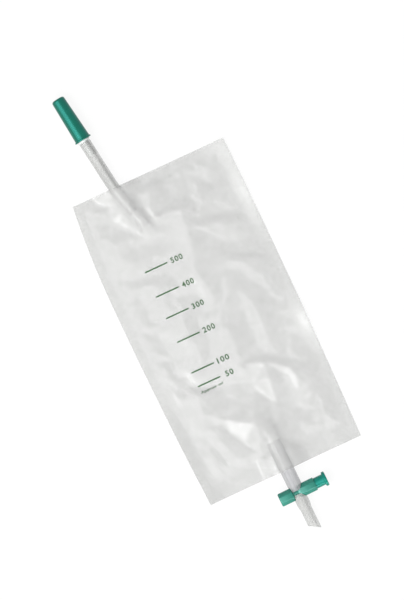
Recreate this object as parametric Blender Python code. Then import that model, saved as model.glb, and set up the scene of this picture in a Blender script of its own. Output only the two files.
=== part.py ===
"""A 500 ml urine drainage bag, empty and lying on its back film, with a capped inlet and a push-pull outlet tap.

Metres, +Z up. X runs across the bag and +Y towards the inlet. The origin is the middle of the back film's underside.
"""

import math

import bmesh
import bpy
from mathutils import Matrix, Vector
from mathutils.geometry import delaunay_2d_cdt

MM = 0.001
CLEARANCE = 0.3 * MM

# Bag: two films welded together all round
BAG_WIDTH = 131 * MM
BAG_LENGTH = 260 * MM
FILM = 0.25 * MM
SIDE_WELD = 6 * MM
TOP_WELD = 3 * MM
BOTTOM_WELD = 12 * MM
WELD_CORNER = 6 * MM
LEFT_BOW = 4.5 * MM
LEFT_BOW_FROM_TOP = 80 * MM
RIGHT_BOW = 1.5 * MM
RIGHT_BOW_FROM_TOP = 120 * MM
HOLLOW_RUN = 12 * MM
WELD_RUN = 9 * MM
WELD_LIFT_REACH = 22 * MM
TUBE_FILM_GAP = 0.35 * MM

# Creases of the front film, whose facets are flat between them: x, y and height of the points along each, in
# millimetres. Lines of high and of low points alternate.
CREASES = (
    # Left of the inlet tube
    ((-50, 121, 0.7), (-53, 101, 0.6)),
    ((-37, 121, 1), (-43, 108, 0.8), (-38, 98, 1)),
    # Round the end of the inlet tube, and the dark band that comes to it from the top edge
    ((-28, 108, 2.6), (-21, 97, 3.2), (-32, 91, 1.9)),
    ((-12, 127, 1.6), (-16, 112, 2.2), (-17, 104, 2.8)),
    ((0, 125, 5), (-10, 104, 4.6)),
    ((-21, 97, 3.2), (-10, 95.5, 3.5), (2, 94.5, 3.7), (13, 92, 3.7), (21, 87, 2)),
    ((11, 126, 0.6), (2, 101, 1), (20, 99, 0.5), (24, 92, 0.8), (21, 87, 2)),
    ((25, 99, 0.7), (29, 92, 2.6), (23, 83.5, 2.4)),
    ((31, 110, 0.6), (48, 121, 0.7)),
    ((54, 104, 0.9), (48, 96, 1.2), (50, 81, 1)),
    # Left top
    ((-51, 90, 0.8), (-58, 77, 0.6), (-57, 67, 0.6)),
    ((-44, 86, 1.3), (-41, 70, 1.3)),
    ((-28, 80, 1.8), (-20, 64, 2.1)),
    ((-10, 80, 2.4), (1, 84, 2.8)),
    ((-58, 62, 0.5), (-36, 54, 1), (-16, 50, 1.9)),
    ((-58, 54, 0.6), (-50, 51, 0.8), (-34, 47, 1.7), (-16, 39, 2.3)),
    # Two steps across the right half
    ((9, 80, 2.9), (16, 84, 2.4), (26, 80, 1.5), (42, 75, 1), (56, 69, 0.7)),
    ((14, 79.5, 3.1), (20, 74, 2.7), (34, 71, 2.2), (48, 66, 1.8), (58, 61, 1)),
    ((10, 73, 3.1), (20, 67.5, 1.9), (28, 59, 1.2), (44, 52, 1.1), (59, 46, 0.8)),
    ((10, 73, 3.1), (7, 60, 3.6), (2, 47, 3.5)),
    ((-2, 63, 2.6), (-5, 50, 2.6)),
    ((34, 44, 1.2), (46, 39.5, 1), (57, 33, 0.8)),
    ((2, 47, 3.5), (14, 43, 2.8), (26, 41, 2.4), (45, 34, 2.3), (58, 26, 1.6)),
    # Middle
    ((-20, 25, 2.2), (-28, 5, 2)),
    ((-10, 10, 2.4), (8, 20, 2.8), (10, 7, 2.7)),
    ((22, 31, 2.5), (25, 16, 2.6), (32, 2, 2.4), (33, -12, 2), (30, -30, 1.8)),
    ((38, 27, 1.9), (37, 19, 1.6), (45, 8, 1.3), (50, -8, 1), (50, -22, 0.8)),
    ((-1, -3, 2.7), (5, -9, 3.8), (6.5, -20, 4), (5, -33, 3.8)),
    ((-5, -18, 2.7), (-5, -33, 2.6)),
    ((12, 0, 2.2), (22, -12, 1.5), (22, -24, 1.3), (13, -36.5, 1.3), (23, -40, 1.3), (38, -50, 1.2)),
    ((4, -39, 2.4), (20, -45, 3.4), (36, -56, 2.6), (39.5, -66, 2.4), (37, -79, 1.4)),
    ((20, -45, 3.4), (18.5, -58, 4.8), (17, -69, 3.4)),
    ((5, -57, 0.8), (7, -66, 0.9)),
    ((29, -57, 1.3), (27, -72, 1), (22, -84, 1.4)),
    ((33.5, -62, 1.3), (34, -74, 1.1)),
    ((44, -54, 1.5), (48, -65, 1.8), (44, -74, 1.6)),
    ((43, -60, 1.4), (43, -68, 1.4)),
    # Left, down to the fold that rises on the outlet tube
    ((-46, 44, 0.7), (-45.5, 8, 0.7), (-45, -8, 0.7)),
    ((-42.5, 45, 1.1), (-42, 20, 1.2), (-41.5, -8, 1.1)),
    ((-25, -20, 2), (-12, -38, 2.2)),
    ((-58, -31, 0.5), (-46, -37, 0.7), (-36, -41, 0.9)),
    ((-58, -39, 0.6), (-48, -43, 0.8), (-40, -46, 2.1), (-40.5, -60, 2.1), (-40.5, -73, 1.5), (-38, -84, 1.8)),
    ((-17, -50, 0.6), (-18, -57, 0.6), (-10, -70, 0.9)),
    ((-44.5, -50, 0.7), (-44.5, -73, 0.5)),
    ((-28, -73, 2), (-18, -79, 3.2), (-8, -85.5, 4.8), (-3, -92, 6.5), (-2, -99, 8)),
    ((-30, -76, 0.9), (-28, -83, 0.8), (-20, -98, 0.8), (-13, -110, 0.9), (-9, -120, 0.9)),
    ((-38, -84, 1.8), (-32, -100, 2), (-20, -116, 1.8)),
    # Bottom
    ((-57, -92, 0.4), (-55, -116, 0.4)),
    ((-51, -94, 1.2), (-46, -117, 1.3)),
    ((-45, -88, 0.6), (-41, -100, 0.6), (-38, -116, 0.6)),
    ((9, -88, 3.4), (16, -78, 2.2)),
    ((10, -100, 3), (24, -105, 1.2), (22, -120, 0.8)),
    ((30, -92, 1.2), (45, -94, 1.1), (56, -84, 0.9), (56, -62, 0.9)),
    ((45, -106, 0.9), (43, -117, 0.7)),
    ((50, -104, 1.4), (47, -117, 1.3)),
    # Beyond the edges
    ((-76, 134, 0.5), (76, 134, 0.8), (76, 0, 0.8), (76, -134, 0.8), (-76, -134, 0.5), (-76, 0, 0.5), (-76, 134, 0.5)),
)

# Places where the welded edge curls up from the table: x, y, height, reach across and reach along, in millimetres
CURLS = (
    (70, -24, 4, 12, 22),
    (69, 93, 3.4, 10, 32),
    (68, 130, 2.2, 16, 14),
    (-72, -100, 2.4, 9, 34),
    (-66, -132, 1, 12, 10),
    (50, -133, 0.8, 8, 10),
)

# Inlet tube, bent a little where it leaves the bag
INLET_X = -29.5 * MM
INLET_RADIUS = 4.65 * MM
INLET_WALL = 1.15 * MM
INLET_INSIDE = 25.5 * MM
INLET_OUTSIDE = 42.1 * MM
INLET_LEAN_INSIDE = math.radians(14.6)
INLET_LEAN_OUTSIDE = math.radians(7.7)
INLET_BEND = 8 * MM

# Non-return valve: a soft duckbill pushed into the inner end of the inlet tube
BILL_WALL = 0.4 * MM
BILL_IN_TUBE = 8 * MM
BILL_LENGTH = 14 * MM
BILL_HALF_WIDTH = 4.9 * MM
BILL_SLIT = 0.4 * MM

# Catheter connector and its cap
CONNECTOR_BORE = 1.9 * MM
BARB_LENGTH = 12 * MM
COLLAR_RADIUS = 5 * MM
COLLAR_LENGTH = 1.6 * MM
CONE_LENGTH = 32 * MM
CONE_BASE_RADIUS = 4.3 * MM
CONE_TIP_RADIUS = 2.6 * MM
CONE_STEPS = 4
CONE_STEP = 0.45 * MM
CAP_LENGTH = 38.3 * MM
CAP_WALL = 1 * MM
CAP_END_RADIUS = 5.4 * MM
CAP_SHOULDER = 1.9 * MM
CAP_MOUTH_UP = 1.5 * MM
CAP_FLANGE_OUT = 0.75 * MM
CAP_FLANGE = 1.2 * MM
CAP_FLARE = 1.6 * MM

# Outlet tube and the tail tube below the tap
OUTLET_X = 1 * MM
OUTLET_LEAN = math.radians(1.2)
OUTLET_RADIUS = 5.75 * MM
OUTLET_WALL = 1.45 * MM
OUTLET_INSIDE = 25 * MM
TAP_BELOW_BAG = 19.3 * MM
TUBE_END_FROM_TAP = 1.5 * MM
TAIL_LENGTH = 30.5 * MM
TAIL_STRETCHED = 5.25 * MM
TAIL_RADIUS = 4.6 * MM
TAIL_WALL = 1.1 * MM
TAIL_SLANT = 0.59

# Push-pull tap, which lies across the tube
BARREL_RADIUS = 3.7 * MM
BARREL_BORE = 2.5 * MM
LEFT_GRIP_START = -15.8 * MM
LEFT_GRIP_END = -4.2 * MM
LEFT_GRIP_FLAT = 5.4 * MM
GRIP_CHAMFER = 0.7 * MM
GRIP_SIDES = 8
NOSE_START = 1.4 * MM
NOSE_LENGTH = 6 * MM
SLEEVE_END = 15.1 * MM
SLEEVE_RADIUS = 5.6 * MM
SLEEVE_WALL = 0.8 * MM
SPIGOT_LENGTH = 11 * MM
PORT_RADIUS = 2 * MM
LIP = 0.25 * MM

# Plunger, pulled out
TRAVEL = 6 * MM
STEM_IN_SLEEVE = 1.8 * MM
STEM_SHOWN = 7.5 * MM
PLUNGER_FLANGE_RADIUS = 6 * MM
PLUNGER_FLANGE = 2.5 * MM
NECK_RADIUS = 1.3 * MM
NECK_HALF = 2.4 * MM
LAND = 5.5 * MM
RING_GROOVE = 0.35 * MM

TOP = BAG_LENGTH / 2
BOTTOM = -BAG_LENGTH / 2
INLET_FILM_RADIUS = INLET_RADIUS + TUBE_FILM_GAP
OUTLET_FILM_RADIUS = OUTLET_RADIUS + TUBE_FILM_GAP
INLET_Z = FILM + INLET_FILM_RADIUS
OUTLET_Z = FILM + OUTLET_FILM_RADIUS
CAP_BORE = COLLAR_RADIUS + CLEARANCE
CAP_MOUTH_RADIUS = CAP_BORE + CAP_WALL
CAP_FLANGE_RADIUS = CAP_MOUTH_RADIUS + CAP_FLANGE_OUT
SEAM = FILM + CLEARANCE / 2
# Angles from straight above at which the films' edges follow a tube
ARCH_ANGLES = tuple(map(math.radians, (0, 25, 50, 72, 90)))
DRAPE_ANGLE = math.radians(50)
DRAPE_PAST_TUBE = 24 * MM


def finish(name, colour, roughness, alpha=1.0):
    """A Principled material."""
    material = bpy.data.materials.new(name)
    material.use_nodes = True
    shader = material.node_tree.nodes["Principled BSDF"]
    shader.inputs["Base Color"].default_value = (*colour, 1)
    shader.inputs["Roughness"].default_value = roughness
    shader.inputs["Metallic"].default_value = 0
    shader.inputs["Alpha"].default_value = alpha
    return material


def place(mesh, name, material, matrix=None, sharp=30):
    """An object of this mesh, in the scene, with faces pointing out and smooth round its curves."""
    faces = bmesh.new()
    faces.from_mesh(mesh)
    bmesh.ops.remove_doubles(faces, verts=faces.verts, dist=1e-7)
    bmesh.ops.recalc_face_normals(faces, faces=faces.faces)
    faces.to_mesh(mesh)
    faces.free()
    mesh.shade_smooth()
    mesh.set_sharp_from_angle(angle=math.radians(sharp))
    mesh.materials.append(material)
    thing = bpy.data.objects.new(name, mesh)
    thing.matrix_world = matrix or Matrix()
    bpy.context.scene.collection.objects.link(thing)
    return thing


def turned(name, profile, material, matrix=None, steps=24, closed=False):
    """A profile of (radius, height) turned round local Z. A closed profile makes a ring, an open one starts and
    ends on the axis."""
    shape = bmesh.new()
    points = [shape.verts.new((radius, 0, height)) for radius, height in profile]
    pairs = list(zip(points, points[1:]))
    if closed:
        pairs.append((points[-1], points[0]))
    edges = [shape.edges.new(pair) for pair in pairs]
    bmesh.ops.spin(
        shape, geom=points + edges, axis=(0, 0, 1), cent=(0, 0, 0), angle=2 * math.pi, steps=steps, use_merge=True
    )
    bmesh.ops.remove_doubles(shape, verts=shape.verts, dist=1e-6)
    mesh = bpy.data.meshes.new(name)
    shape.to_mesh(mesh)
    shape.free()
    return place(mesh, name, material, matrix)


def shell(name, outer, inner, material):
    """A tube with a wall, from matching lists of outer and inner rings of points."""
    shape = bmesh.new()
    outer = [[shape.verts.new(point) for point in ring] for ring in outer]
    inner = [[shape.verts.new(point) for point in ring] for ring in inner]
    strips = list(zip(outer, outer[1:])) + list(zip(inner, inner[1:]))
    strips += [(outer[0], inner[0]), (outer[-1], inner[-1])]
    for one, other in strips:
        for index in range(len(one)):
            shape.faces.new((one[index - 1], one[index], other[index], other[index - 1]))
    mesh = bpy.data.meshes.new(name)
    shape.to_mesh(mesh)
    shape.free()
    return place(mesh, name, material)


def ring(centre, along, half_width, half_height, sides, slant=0.0):
    """Points of an ellipse square to a direction, one half axis level. A slant shifts them along it by their side."""
    side = Vector((0, 0, 1)).cross(along).normalized()
    up = along.cross(side).normalized()
    points = []
    for step in range(sides):
        angle = 2 * math.pi * step / sides
        across = half_width * math.cos(angle)
        points.append(centre + side * across + up * half_height * math.sin(angle) + along * slant * across)
    return points


def directions(path):
    """The direction of a path at each of its points."""
    ends = [path[0]] + path + [path[-1]]
    return [(ends[index + 2] - ends[index]).normalized() for index in range(len(path))]


def tube(name, path, outer, inner, material, slant=0.0, sides=24):
    """A round tube along a path, with a radius for each point outside and inside. Only its last end may slant."""
    headings = directions(path)
    slants = [0.0] * (len(path) - 1) + [slant]
    stations = list(zip(path, headings, slants))
    outside = [ring(*at[:2], radius, radius, sides, at[2]) for at, radius in zip(stations, outer)]
    inside = [ring(*at[:2], radius, radius, sides, at[2]) for at, radius in zip(stations, inner)]
    return shell(name, outside, inside, material)


def cut(target, cutter, operation="DIFFERENCE"):
    """A live Boolean with a hidden helper."""
    cutter.hide_render = True
    cutter.display_type = "WIRE"
    modifier = target.modifiers.new(cutter.name, "BOOLEAN")
    modifier.operation = operation
    modifier.solver = "EXACT"
    modifier.object = cutter


def smooth(share):
    """0 to 1 with level ends."""
    share = min(max(share, 0.0), 1.0)
    return share * share * (3 - 2 * share)


def spaced(start, end, steps):
    """Evenly spaced values from start up to but without the end."""
    return [start + (end - start) * step / steps for step in range(steps)]


def heading(lean):
    """The level direction that leans this angle from +Y towards -X."""
    return Vector((-math.sin(lean), math.cos(lean), 0))


def bow(y, most, widest_from_top):
    """How far an edge stands out: two parabolas that meet at the widest place."""
    from_top = TOP - y
    reach = widest_from_top if from_top < widest_from_top else BAG_LENGTH - widest_from_top
    return most * (1 - ((from_top - widest_from_top) / reach) ** 2)


def left_edge(y):
    return -BAG_WIDTH / 2 - bow(y, LEFT_BOW, LEFT_BOW_FROM_TOP)


def right_edge(y):
    return BAG_WIDTH / 2 + bow(y, RIGHT_BOW, RIGHT_BOW_FROM_TOP)


def inlet_path():
    """Centre line of the inlet tube: straight inside, a soft bend at the bag's edge, then up to the cap's height."""
    corner = Vector((INLET_X, TOP, INLET_Z))
    inner = corner - heading(INLET_LEAN_INSIDE) * INLET_BEND
    outer = corner + heading(INLET_LEAN_OUTSIDE) * INLET_BEND
    bend = [inner.lerp(corner, share).lerp(corner.lerp(outer, share), share) for share in spaced(0, 1, 4)]
    path = [corner - heading(INLET_LEAN_INSIDE) * INLET_INSIDE] + bend
    rise = CAP_FLANGE_RADIUS - INLET_Z
    for share in spaced(0, 1, 5) + [1]:
        point = outer.lerp(corner + heading(INLET_LEAN_OUTSIDE) * INLET_OUTSIDE, share)
        path.append(point + Vector((0, 0, rise * smooth(share))))
    return path


def inlet_end():
    """The frame of the inlet tube's outer end: local Z runs out along the tube."""
    return (
        Matrix.Translation(inlet_path()[-1])
        @ Matrix.Rotation(INLET_LEAN_OUTSIDE, 4, "Z")
        @ Matrix.Rotation(-math.pi / 2, 4, "X")
    )


def outlet_point(below_bag):
    """A point of the outlet's centre line."""
    return Vector((OUTLET_X, BOTTOM, OUTLET_Z)) - heading(OUTLET_LEAN) * below_bag


def tap_frame():
    """The frame of the tap: local X runs along the barrel and local Y up the tube."""
    return Matrix.Translation(outlet_point(TAP_BELOW_BAG)) @ Matrix.Rotation(OUTLET_LEAN, 4, "Z")


def barrel_frame():
    """The tap's frame with local Z along the barrel, for turned pieces."""
    return tap_frame() @ Matrix.Rotation(math.pi / 2, 4, "Y")


def inlet_axis(y):
    """Where the inlet tube's centre line crosses a row of the films."""
    return INLET_X + math.tan(INLET_LEAN_INSIDE) * (TOP - y)


def outlet_axis(y):
    """Where the outlet tube's centre line crosses a row of the films."""
    return OUTLET_X - math.tan(OUTLET_LEAN) * (y - BOTTOM)


def inside_weld(x, y):
    """Distance in from the weld, whose inner corners are round. It is below 0 on the weld."""
    across = WELD_CORNER - (min(x - left_edge(y), right_edge(y) - x) - SIDE_WELD)
    along = WELD_CORNER - min(TOP - y - TOP_WELD, y - BOTTOM - BOTTOM_WELD)
    return WELD_CORNER - math.hypot(max(across, 0), max(along, 0)) - min(max(across, along), 0)


def crease_facets():
    """The flat facets between the creases, each as three corners with their heights."""
    places, heights, edges = [], [], []
    for crease in CREASES:
        for index, (x, y, height) in enumerate(crease):
            if index:
                edges.append((len(places) - 1, len(places)))
            places.append(Vector((x, y)) * MM)
            heights.append(height * MM)
    corners, _, facets, sources, _, _ = delaunay_2d_cdt(places, edges, [], 0, MM / 100)
    return [[(corners[index], heights[sources[index][0]]) for index in facet] for facet in facets]


FACETS = crease_facets()


def crease_height(x, y):
    """Height of the facet at a place."""
    for (first, low), (second, one), (third, other) in FACETS:
        place_on, to_one, to_other = Vector((x, y)) - first, second - first, third - first
        area = to_one.cross(to_other)
        along_one, along_other = place_on.cross(to_other) / area, to_one.cross(place_on) / area
        if min(along_one, along_other, 1 - along_one - along_other) > -1e-6:
            return low + (one - low) * along_one + (other - low) * along_other
    return 0.0


def curl_height(x, y):
    """How far the welded edge stands off the table. It bends both films together."""
    height = 0.0
    for centre_x, centre_y, rise, across, along in CURLS:
        away = math.hypot((x / MM - centre_x) / across, (y / MM - centre_y) / along)
        height += rise * MM * math.exp(-away * away)
    return height


def base_height(x, y):
    """Underside of the front film away from the tubes."""
    return FILM + CLEARANCE + smooth(inside_weld(x, y) / HOLLOW_RUN) * crease_height(x, y)


def seam_height(away, radius, centre):
    """Middle of the weld beside a tube: at the tube's middle there, and falling to the table."""
    return SEAM + (centre - SEAM) * (1 - smooth((away - radius) / WELD_LIFT_REACH))


def arch(away, radius, centre, base, weld):
    """Underside of the front film across a tube. Weld is 1 where the films are welded and 0 where they hang free."""
    if away < radius * math.sin(DRAPE_ANGLE):
        return centre + math.sqrt(radius**2 - away**2)
    start = radius * math.sin(DRAPE_ANGLE)
    rise = max(centre + radius * math.cos(DRAPE_ANGLE) - base, MM)
    free = base + rise * math.exp(-math.tan(DRAPE_ANGLE) * (away - start) / rise)
    if away < radius:
        held = max(centre + math.sqrt(radius**2 - away**2), centre + CLEARANCE / 2)
    else:
        held = seam_height(away, radius, centre) + CLEARANCE / 2
    return free + (held - free) * weld


def trough(away, radius, centre, weld):
    """Top of the back film across a tube."""
    if away < radius:
        held = min(centre - math.sqrt(radius**2 - away**2), centre - CLEARANCE / 2)
    else:
        held = seam_height(away, radius, centre) - CLEARANCE / 2
    return FILM + (held - FILM) * weld


def inlet_terms(x, y):
    """Distance from the inlet tube's axis, how welded the films are there, and how far the tube raises the film."""
    away = abs(x - inlet_axis(y)) * math.cos(INLET_LEAN_INSIDE)
    weld = 1 - smooth((TOP - TOP_WELD - y) / WELD_RUN)
    end = TOP - INLET_INSIDE * math.cos(INLET_LEAN_INSIDE) - 2 * MM
    return away, weld, 1 - smooth((end - y) / DRAPE_PAST_TUBE)


def outlet_terms(x, y):
    """The same for the outlet tube."""
    away = abs(x - outlet_axis(y)) * math.cos(OUTLET_LEAN)
    weld = 1 - smooth((y - BOTTOM - BOTTOM_WELD) / WELD_RUN)
    end = BOTTOM + OUTLET_INSIDE + 2 * MM
    return away, weld, 1 - smooth((y - end) / DRAPE_PAST_TUBE)


def front_height(x, y):
    """Underside of the front film."""
    base = base_height(x, y)
    away, weld, raised = inlet_terms(x, y)
    over_inlet = arch(away, INLET_FILM_RADIUS, INLET_Z, base, weld) - base
    height = base + over_inlet * raised
    away, weld, raised = outlet_terms(x, y)
    over_outlet = arch(away, OUTLET_FILM_RADIUS, OUTLET_Z, base, weld) - base
    return height + over_outlet * raised + curl_height(x, y)


def back_height(x, y):
    """Top of the back film."""
    away, weld, _ = inlet_terms(x, y)
    height = trough(away, INLET_FILM_RADIUS, INLET_Z, weld)
    away, weld, _ = outlet_terms(x, y)
    return height + trough(away, OUTLET_FILM_RADIUS, OUTLET_Z, weld) - FILM + curl_height(x, y)


def row_places(y, left_steps=7, right_steps=12):
    """The x of a film's points along a row. Those near the middle follow the tubes, the inlet above and the outlet
    below."""
    share = smooth((y - BOTTOM - 45 * MM) / (BAG_LENGTH - 90 * MM))
    centre = outlet_axis(y) + (inlet_axis(max(y, TOP - 2 * INLET_INSIDE)) - outlet_axis(y)) * share
    radius = OUTLET_FILM_RADIUS + (INLET_FILM_RADIUS - OUTLET_FILM_RADIUS) * share
    offsets = [radius * math.sin(angle) for angle in ARCH_ANGLES]
    offsets += [radius + WELD_LIFT_REACH * reach for reach in (0.14, 0.36, 0.66, 1)]
    near = [centre - offset for offset in reversed(offsets[1:])] + [centre + offset for offset in offsets]
    left = spaced(left_edge(y), near[0], left_steps)
    right = spaced(right_edge(y), near[-1], right_steps)
    return left + near + right[::-1]


def film_rows(middle_steps=28):
    """The y of a film's rows, close together over the welds and the tubes' inner ends."""
    inlet_stop = TOP - INLET_INSIDE - 3 * MM
    outlet_stop = BOTTOM + OUTLET_INSIDE + 3 * MM
    rows = spaced(TOP, TOP - TOP_WELD, 1)
    rows += spaced(TOP - TOP_WELD, TOP - TOP_WELD - WELD_RUN, 3)
    rows += spaced(TOP - TOP_WELD - WELD_RUN, inlet_stop, 3)
    rows += spaced(inlet_stop, inlet_stop - DRAPE_PAST_TUBE, 4)
    rows += spaced(inlet_stop - DRAPE_PAST_TUBE, outlet_stop + DRAPE_PAST_TUBE, middle_steps)
    rows += spaced(outlet_stop + DRAPE_PAST_TUBE, outlet_stop, 4)
    rows += spaced(outlet_stop, BOTTOM + BOTTOM_WELD + WELD_RUN, 2)
    rows += spaced(BOTTOM + BOTTOM_WELD + WELD_RUN, BOTTOM + BOTTOM_WELD, 3)
    return rows + spaced(BOTTOM + BOTTOM_WELD, BOTTOM, 3) + [BOTTOM]


def film(name, height, material, side):
    """A film as one surface thickened away from the bag's hollow: side is 1 for upwards and -1 for downwards."""
    shape = bmesh.new()
    grid = [[shape.verts.new((x, y, height(x, y))) for x in row_places(y)] for y in film_rows()]
    for upper, lower in zip(grid, grid[1:]):
        for index in range(len(upper) - 1):
            shape.faces.new((upper[index], lower[index], lower[index + 1], upper[index + 1]))
    mesh = bpy.data.meshes.new(name)
    shape.to_mesh(mesh)
    shape.free()
    mesh.shade_smooth()
    mesh.materials.append(material)
    thing = bpy.data.objects.new(name, mesh)
    bpy.context.scene.collection.objects.link(thing)
    thickness = thing.modifiers.new("film_thickness", "SOLIDIFY")
    thickness.thickness = FILM
    thickness.offset = side
    thickness.use_even_offset = True
    return thing


def make_films(clear_film):
    film("front_film", front_height, clear_film, 1)
    film("back_film", back_height, clear_film, -1)


def make_inlet_tube(clear_tube):
    path = inlet_path()
    outer = [INLET_RADIUS] * len(path)
    inner = [INLET_RADIUS - INLET_WALL] * len(path)
    tube("inlet_tube", path, outer, inner, clear_tube)


def make_non_return_valve(soft_film):
    """A duckbill: a round collar in the tube's bore that flattens to a wide slit lying on the back film."""
    start, after = inlet_path()[:2]
    along = (start - after).normalized()
    collar = INLET_RADIUS - INLET_WALL - CLEARANCE
    tip_half_height = BILL_SLIT / 2 + BILL_WALL
    tip_z = FILM + 2 * CLEARANCE + tip_half_height
    outer, inner = [], []
    for past_tube in spaced(-BILL_IN_TUBE, 0, 2) + spaced(0, BILL_LENGTH, 5) + [BILL_LENGTH]:
        flat = smooth(past_tube / BILL_LENGTH)
        half_width = collar + (BILL_HALF_WIDTH - collar) * flat
        half_height = collar + (tip_half_height - collar) * flat
        centre = start + along * past_tube
        centre.z += (tip_z - start.z) * flat
        outer.append(ring(centre, along, half_width, half_height, 16))
        inner.append(ring(centre, along, half_width - BILL_WALL, half_height - BILL_WALL, 16))
    shell("non_return_valve", outer, inner, soft_film)


def make_connector(clear_plastic):
    """Barbs in the tube, a collar at its end and a stepped cone for the catheter, round one bore."""
    barb = INLET_RADIUS - INLET_WALL - CLEARANCE
    root = barb - 2 * LIP
    profile = [(CONNECTOR_BORE, -BARB_LENGTH), (root, -BARB_LENGTH)]
    for step in (0.25, 0.5):
        profile += [(barb, -BARB_LENGTH * (1 - step)), (root, -BARB_LENGTH * (1 - step))]
    collar_top = CLEARANCE + COLLAR_LENGTH
    profile += [(root, CLEARANCE), (COLLAR_RADIUS, CLEARANCE), (COLLAR_RADIUS, collar_top)]
    profile.append((CONE_BASE_RADIUS, collar_top))
    for step in range(CONE_STEPS):
        radius = CONE_BASE_RADIUS + (CONE_TIP_RADIUS - CONE_BASE_RADIUS) * (step + 1) / CONE_STEPS
        height = collar_top + CONE_LENGTH * (step + 1) / CONE_STEPS
        if step < CONE_STEPS - 1:
            profile += [(radius + CONE_STEP, height), (radius, height)]
        else:
            profile.append((radius, height))
    profile.append((CONNECTOR_BORE, collar_top + CONE_LENGTH))
    turned("catheter_connector", profile, clear_plastic, inlet_end(), closed=True)


def make_cap(green):
    """A tapered cap with a rounded end and a flange at its mouth. Its origin is the middle of the mouth."""
    shoulder_height = CAP_LENGTH - CAP_SHOULDER
    profile = [(0, CAP_LENGTH)]
    for angle in map(math.radians, (90, 68, 45, 22, 0)):
        flat = CAP_END_RADIUS - CAP_SHOULDER
        profile.append((flat + CAP_SHOULDER * math.cos(angle), shoulder_height + CAP_SHOULDER * math.sin(angle)))
    for share in (0.6, 0.3, 0):
        flare_top = CAP_FLANGE + CAP_FLARE
        radius = CAP_MOUTH_RADIUS + (CAP_END_RADIUS - CAP_MOUTH_RADIUS) * share
        profile.append((radius, flare_top + (shoulder_height - flare_top) * share))
    for angle in map(math.radians, (30, 60)):
        out = CAP_FLANGE_OUT * 0.6 * (1 - math.cos(angle))
        profile.append((CAP_MOUTH_RADIUS + out, CAP_FLANGE + CAP_FLARE * (1 - math.sin(angle))))
    profile += [(CAP_FLANGE_RADIUS, CAP_FLANGE), (CAP_FLANGE_RADIUS, 0), (CAP_BORE, 0)]
    end_bore = CAP_END_RADIUS - CAP_WALL
    profile += [(end_bore, shoulder_height), (end_bore - CAP_WALL, CAP_LENGTH - CAP_WALL), (0, CAP_LENGTH - CAP_WALL)]
    mouth = inlet_end() @ Matrix.Translation((0, 0, CAP_MOUTH_UP))
    turned("connector_cap", profile, green, mouth)


def tap_profile(extra):
    """The tap body's outline along the barrel, without its spigots, this much larger all round."""
    grip = LEFT_GRIP_FLAT / math.cos(math.pi / GRIP_SIDES) if extra else LEFT_GRIP_FLAT
    profile = [
        (0, LEFT_GRIP_START - extra),
        (grip - GRIP_CHAMFER + extra, LEFT_GRIP_START - extra),
        (grip + extra, LEFT_GRIP_START + GRIP_CHAMFER - extra),
        (grip + extra, LEFT_GRIP_END - GRIP_CHAMFER + extra),
        (grip - GRIP_CHAMFER + extra, LEFT_GRIP_END + extra),
        (BARREL_RADIUS + extra, LEFT_GRIP_END + extra),
        (BARREL_RADIUS + extra, NOSE_START - extra),
    ]
    for angle in map(math.radians, (30, 50, 70, 90)):
        radius = BARREL_RADIUS + (SLEEVE_RADIUS - BARREL_RADIUS) * math.sin(angle)
        profile.append((radius + extra, NOSE_START + NOSE_LENGTH * (1 - math.cos(angle)) - extra))
    rim = GRIP_CHAMFER / 2
    profile += [
        (SLEEVE_RADIUS + extra, SLEEVE_END - rim),
        (SLEEVE_RADIUS - rim + extra, SLEEVE_END),
        (0, SLEEVE_END),
    ]
    return profile


def flatten_grip(body):
    """Gives the left grip its flats: each point there moves out to the polygon."""
    for vertex in body.data.vertices:
        radius = math.hypot(vertex.co.x, vertex.co.y)
        if vertex.co.z > LEFT_GRIP_END + MM / 10 or radius <= BARREL_RADIUS + MM / 10:
            continue
        angle = math.atan2(vertex.co.y, vertex.co.x)
        off_flat = (angle + math.pi / GRIP_SIDES) % (2 * math.pi / GRIP_SIDES) - math.pi / GRIP_SIDES
        vertex.co.x /= math.cos(off_flat)
        vertex.co.y /= math.cos(off_flat)


def make_tap_body(green):
    """Barrel with an octagonal grip, a sleeve for the plunger's stem, and a spigot up and down the tube."""
    body = turned("tap_body", tap_profile(0), green, barrel_frame(), steps=32)
    flatten_grip(body)
    spigot = OUTLET_RADIUS - OUTLET_WALL - CLEARANCE
    lower_spigot = TAIL_STRETCHED - TAIL_WALL - CLEARANCE
    spigots = [
        (0, -SPIGOT_LENGTH),
        (lower_spigot - 2 * LIP, -SPIGOT_LENGTH),
        (lower_spigot, -SPIGOT_LENGTH + 1.5 * MM),
        (lower_spigot - LIP, -SPIGOT_LENGTH + 1.5 * MM),
        (lower_spigot - LIP, 0),
        (spigot - LIP, 0),
        (spigot - LIP, SPIGOT_LENGTH - 1.5 * MM),
        (spigot, SPIGOT_LENGTH - 1.5 * MM),
        (spigot - 2 * LIP, SPIGOT_LENGTH),
        (0, SPIGOT_LENGTH),
    ]
    up_tube = tap_frame() @ Matrix.Rotation(-math.pi / 2, 4, "X")
    cut(body, turned("tap_spigots", spigots, green, up_tube), "UNION")
    way = [(0, -SPIGOT_LENGTH - MM), (PORT_RADIUS, -SPIGOT_LENGTH - MM)]
    way += [(PORT_RADIUS, SPIGOT_LENGTH + MM), (0, SPIGOT_LENGTH + MM)]
    cut(body, turned("tap_port", way, green, up_tube))
    sleeve_bore = SLEEVE_RADIUS - SLEEVE_WALL
    bore = [
        (0, LEFT_GRIP_START - MM),
        (BARREL_BORE, LEFT_GRIP_START - MM),
        (BARREL_BORE, sleeve_floor()),
        (sleeve_bore, sleeve_floor()),
        (sleeve_bore, SLEEVE_END + MM),
        (0, SLEEVE_END + MM),
    ]
    cut(body, turned("tap_bore", bore, green, barrel_frame()))


def stem_start():
    """Where the plunger's stem begins inside the sleeve."""
    return SLEEVE_END - STEM_IN_SLEEVE


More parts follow.
